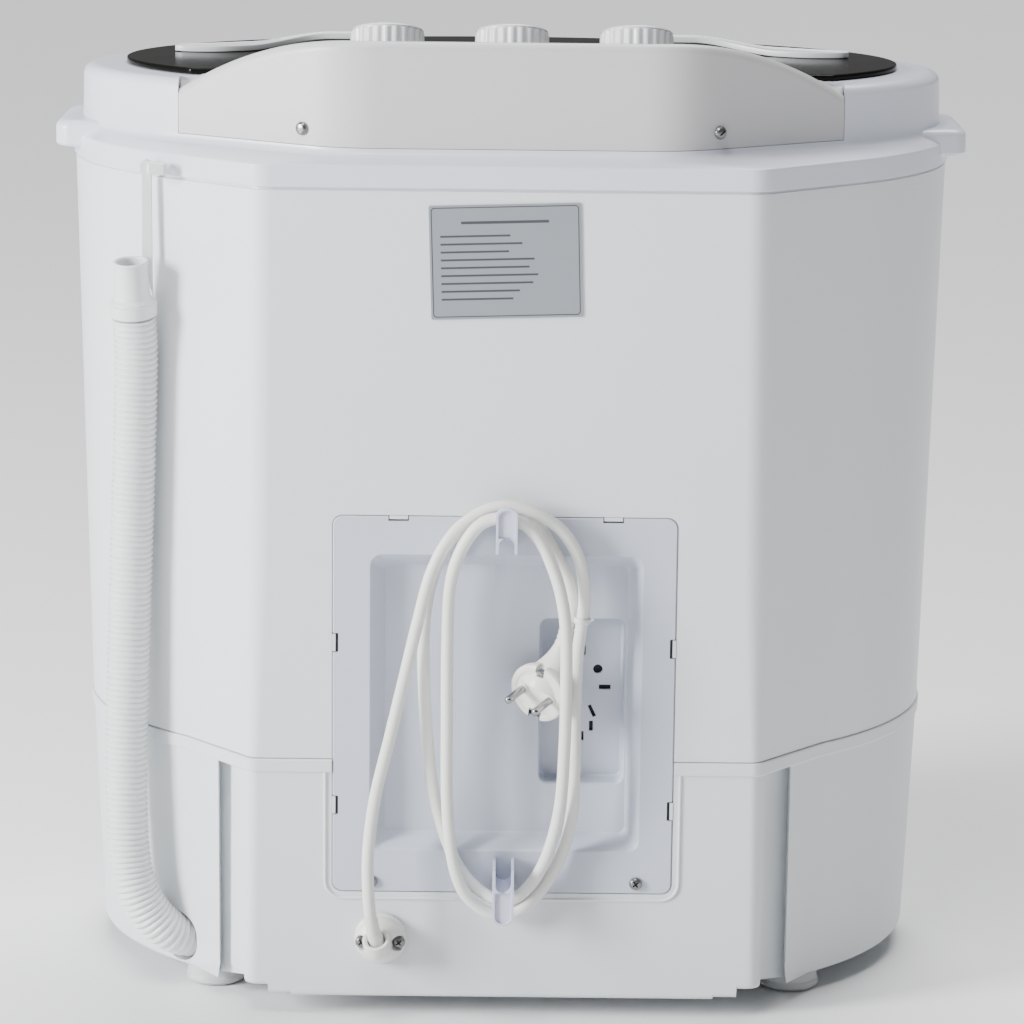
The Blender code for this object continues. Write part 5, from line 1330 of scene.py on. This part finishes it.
def make_feet():
    for name, x, depth in (("foot_rear_left", 0.181, 0.069), ("foot_rear_right", -0.181, 0.069),
                           ("foot_front_left", 0.170, 0.282), ("foot_front_right", -0.170, 0.282)):
        shape = rounded_turn([(0.0120, 0.0002), (0.0165, 0.0002), (0.0190, 0.0022), (0.0190, 0.0048),
                              (0.0182, 0.0060), (0.0178, FOOT_HEIGHT - GAP), (0.0120, FOOT_HEIGHT - GAP)],
                              0.0006, 3)
        foot = turned(name + "_pad", shape, (x, rear(depth), 0), M_FOOT, count=48)
        settle(foot, stands_for=[name])


# ---- inside ---------------------------------------------------------------------------------
def make_inside():
    levels = [(TUB_FLOOR, 0.0165), (TUB_FLOOR + 0.0010, 0.0142), (TUB_FLOOR + 0.006, 0.0122),
              (TUB_TOP, 0.003), (TUB_TOP, 0.003 + TUB_WALL), (TUB_FLOOR + 0.010, 0.012 + TUB_WALL),
              (TUB_FLOOR + 0.0045, 0.0142 + TUB_WALL), (TUB_FLOOR + 0.003, 0.0180 + TUB_WALL)]
    tub = loft("wash_tub_shell", [at_height(lid_outline(inset, -1, 0.018), z) for z, inset in levels], M_TUB)
    shaft_hole = [(0.0123, TUB_FLOOR - 0.01), (0.0123, TUB_FLOOR + 0.01)]
    cut(tub, turned("cut_shaft", shaft_hole, (WASH_X, rear(WASH_DEPTH), 0)))
    settle(tub, stands_for=["wash_tub"])
    make_pulsator()
    profile = rounded_turn([(0.017, TUB_FLOOR), (0.090, TUB_FLOOR), (0.096, TUB_FLOOR + 0.006),
                            (SPIN_TUB_R, TUB_TOP), (SPIN_TUB_R - TUB_WALL, TUB_TOP),
                            (0.0935, TUB_FLOOR + 0.009), (0.088, TUB_FLOOR + 0.003),
                            (0.017, TUB_FLOOR + 0.003)], 0.002, 3)
    outer = turned("spin_tub_shell", profile, (SPIN_X, rear(SPIN_DEPTH), 0), M_TUB, count=96, closed=True)
    settle(outer, stands_for=["spin_outer_tub"])
    make_basket()


def make_pulsator():
    """A disc with three swept vanes and a low hub."""
    centre = Vector((WASH_X, rear(WASH_DEPTH), TUB_FLOOR + 0.007))
    rings = []
    profile = [(0.076, 0.0), (0.0795, 0.0012), (0.0800, 0.0032), (0.0785, 0.0052), (0.074, 0.0062),
               (0.066, 0.0072), (0.056, 0.0082), (0.046, 0.0095), (0.036, 0.0115), (0.027, 0.0145),
               (0.020, 0.0180), (0.014, 0.0215), (0.009, 0.0240), (0.005, 0.0252)]
    for radius, height in profile:
        ring = []
        for angle in angles(120):
            twist = (0.080 - radius) * 9.0
            vane = max(math.cos(3 * (angle + twist)), 0) ** 5
            lift = vane * 0.0165 * math.exp(-((radius - 0.042) / 0.022) ** 2)
            ring.append(centre + Vector((radius * math.cos(angle), radius * math.sin(angle), height + lift)))
        rings.append(ring)
    disc = loft("pulsator_disc", rings, M_PULSATOR)
    settle(disc, "pulsator", ["pulsator"], 55)


def make_basket():
    """The spin drum, with staggered rows of real holes in its wall."""
    low, high = BASKET_Z
    columns, rows = 90, 56
    bm = bmesh.new()

    def ring(radius, z):
        return [bm.verts.new((SPIN_X + radius * math.cos(a), rear(SPIN_DEPTH) + radius * math.sin(a), z))
                for a in angles(columns)]

    def bridge(lower, upper, stagger=None):
        for i in range(columns):
            k = (i + 1) % columns
            if stagger is None or (i + stagger) % 3:
                bm.faces.new((lower[i], lower[k], upper[k], upper[i]))
        return upper

    grid = [ring(BASKET_R - 0.003 + 0.002 * j / rows, low + 0.010 + (high - low - 0.016) * j / rows)
            for j in range(rows + 1)]
    for j in range(rows):
        holed = j % 3 == 1 and 3 < j < rows - 4
        bridge(grid[j], grid[j + 1], (j // 3) % 2 if holed else None)
    floor = grid[0]
    for radius, rise in ((BASKET_R - 0.0034, 0.006), (BASKET_R - 0.0060, 0.0024), (BASKET_R - 0.011, 0.0012),
                         (0.050, 0.0012), (0.022, 0.0016), (0.0150, 0.0052), (0.0066, 0.0075)):
        lower = ring(radius, low + rise)
        bridge(lower, floor)
        floor = lower
    rim = grid[-1]
    for inset, drop in ((0.0006, 0.004), (0.0003, 0.001), (0.0014, 0)):
        rim = bridge(rim, ring(BASKET_R - inset, high - drop))
    basket = link("spin_basket_shell", bm, M_BASKET)
    thick = basket.modifiers.new("thick", "SOLIDIFY")
    thick.thickness = 0.0018
    thick.offset = -1
    bake(basket)
    settle(basket, "spin_drum", ["spin_basket"], 40)


# ---- assembly -------------------------------------------------------------------------------
dress_cad()
set_camera()
set_stage()
lead, lead_points = make_cord()
on_lead = make_plug() + make_tie(lead_points)
hose, hose_points, spout = make_hose()
round(route_length(lead_points), 4)
tuple(hose_points[0])
round(route_length(hose_points), 4)
[tuple(p) for p in hose_points]
make_hanger()
make_casing()
make_base()
make_top()
make_controls()
make_lid("wash_lid", -1)
make_lid("spin_lid", 1)
make_access_cover()
make_hook("hook_upper", "cord_hook_upper", 0.299, 0.327, 1)
make_hook("hook_lower", "cord_hook_lower", 0.068, 0.103, -1)
make_label()
make_clamp()
make_screws()
make_feet()
make_inside()
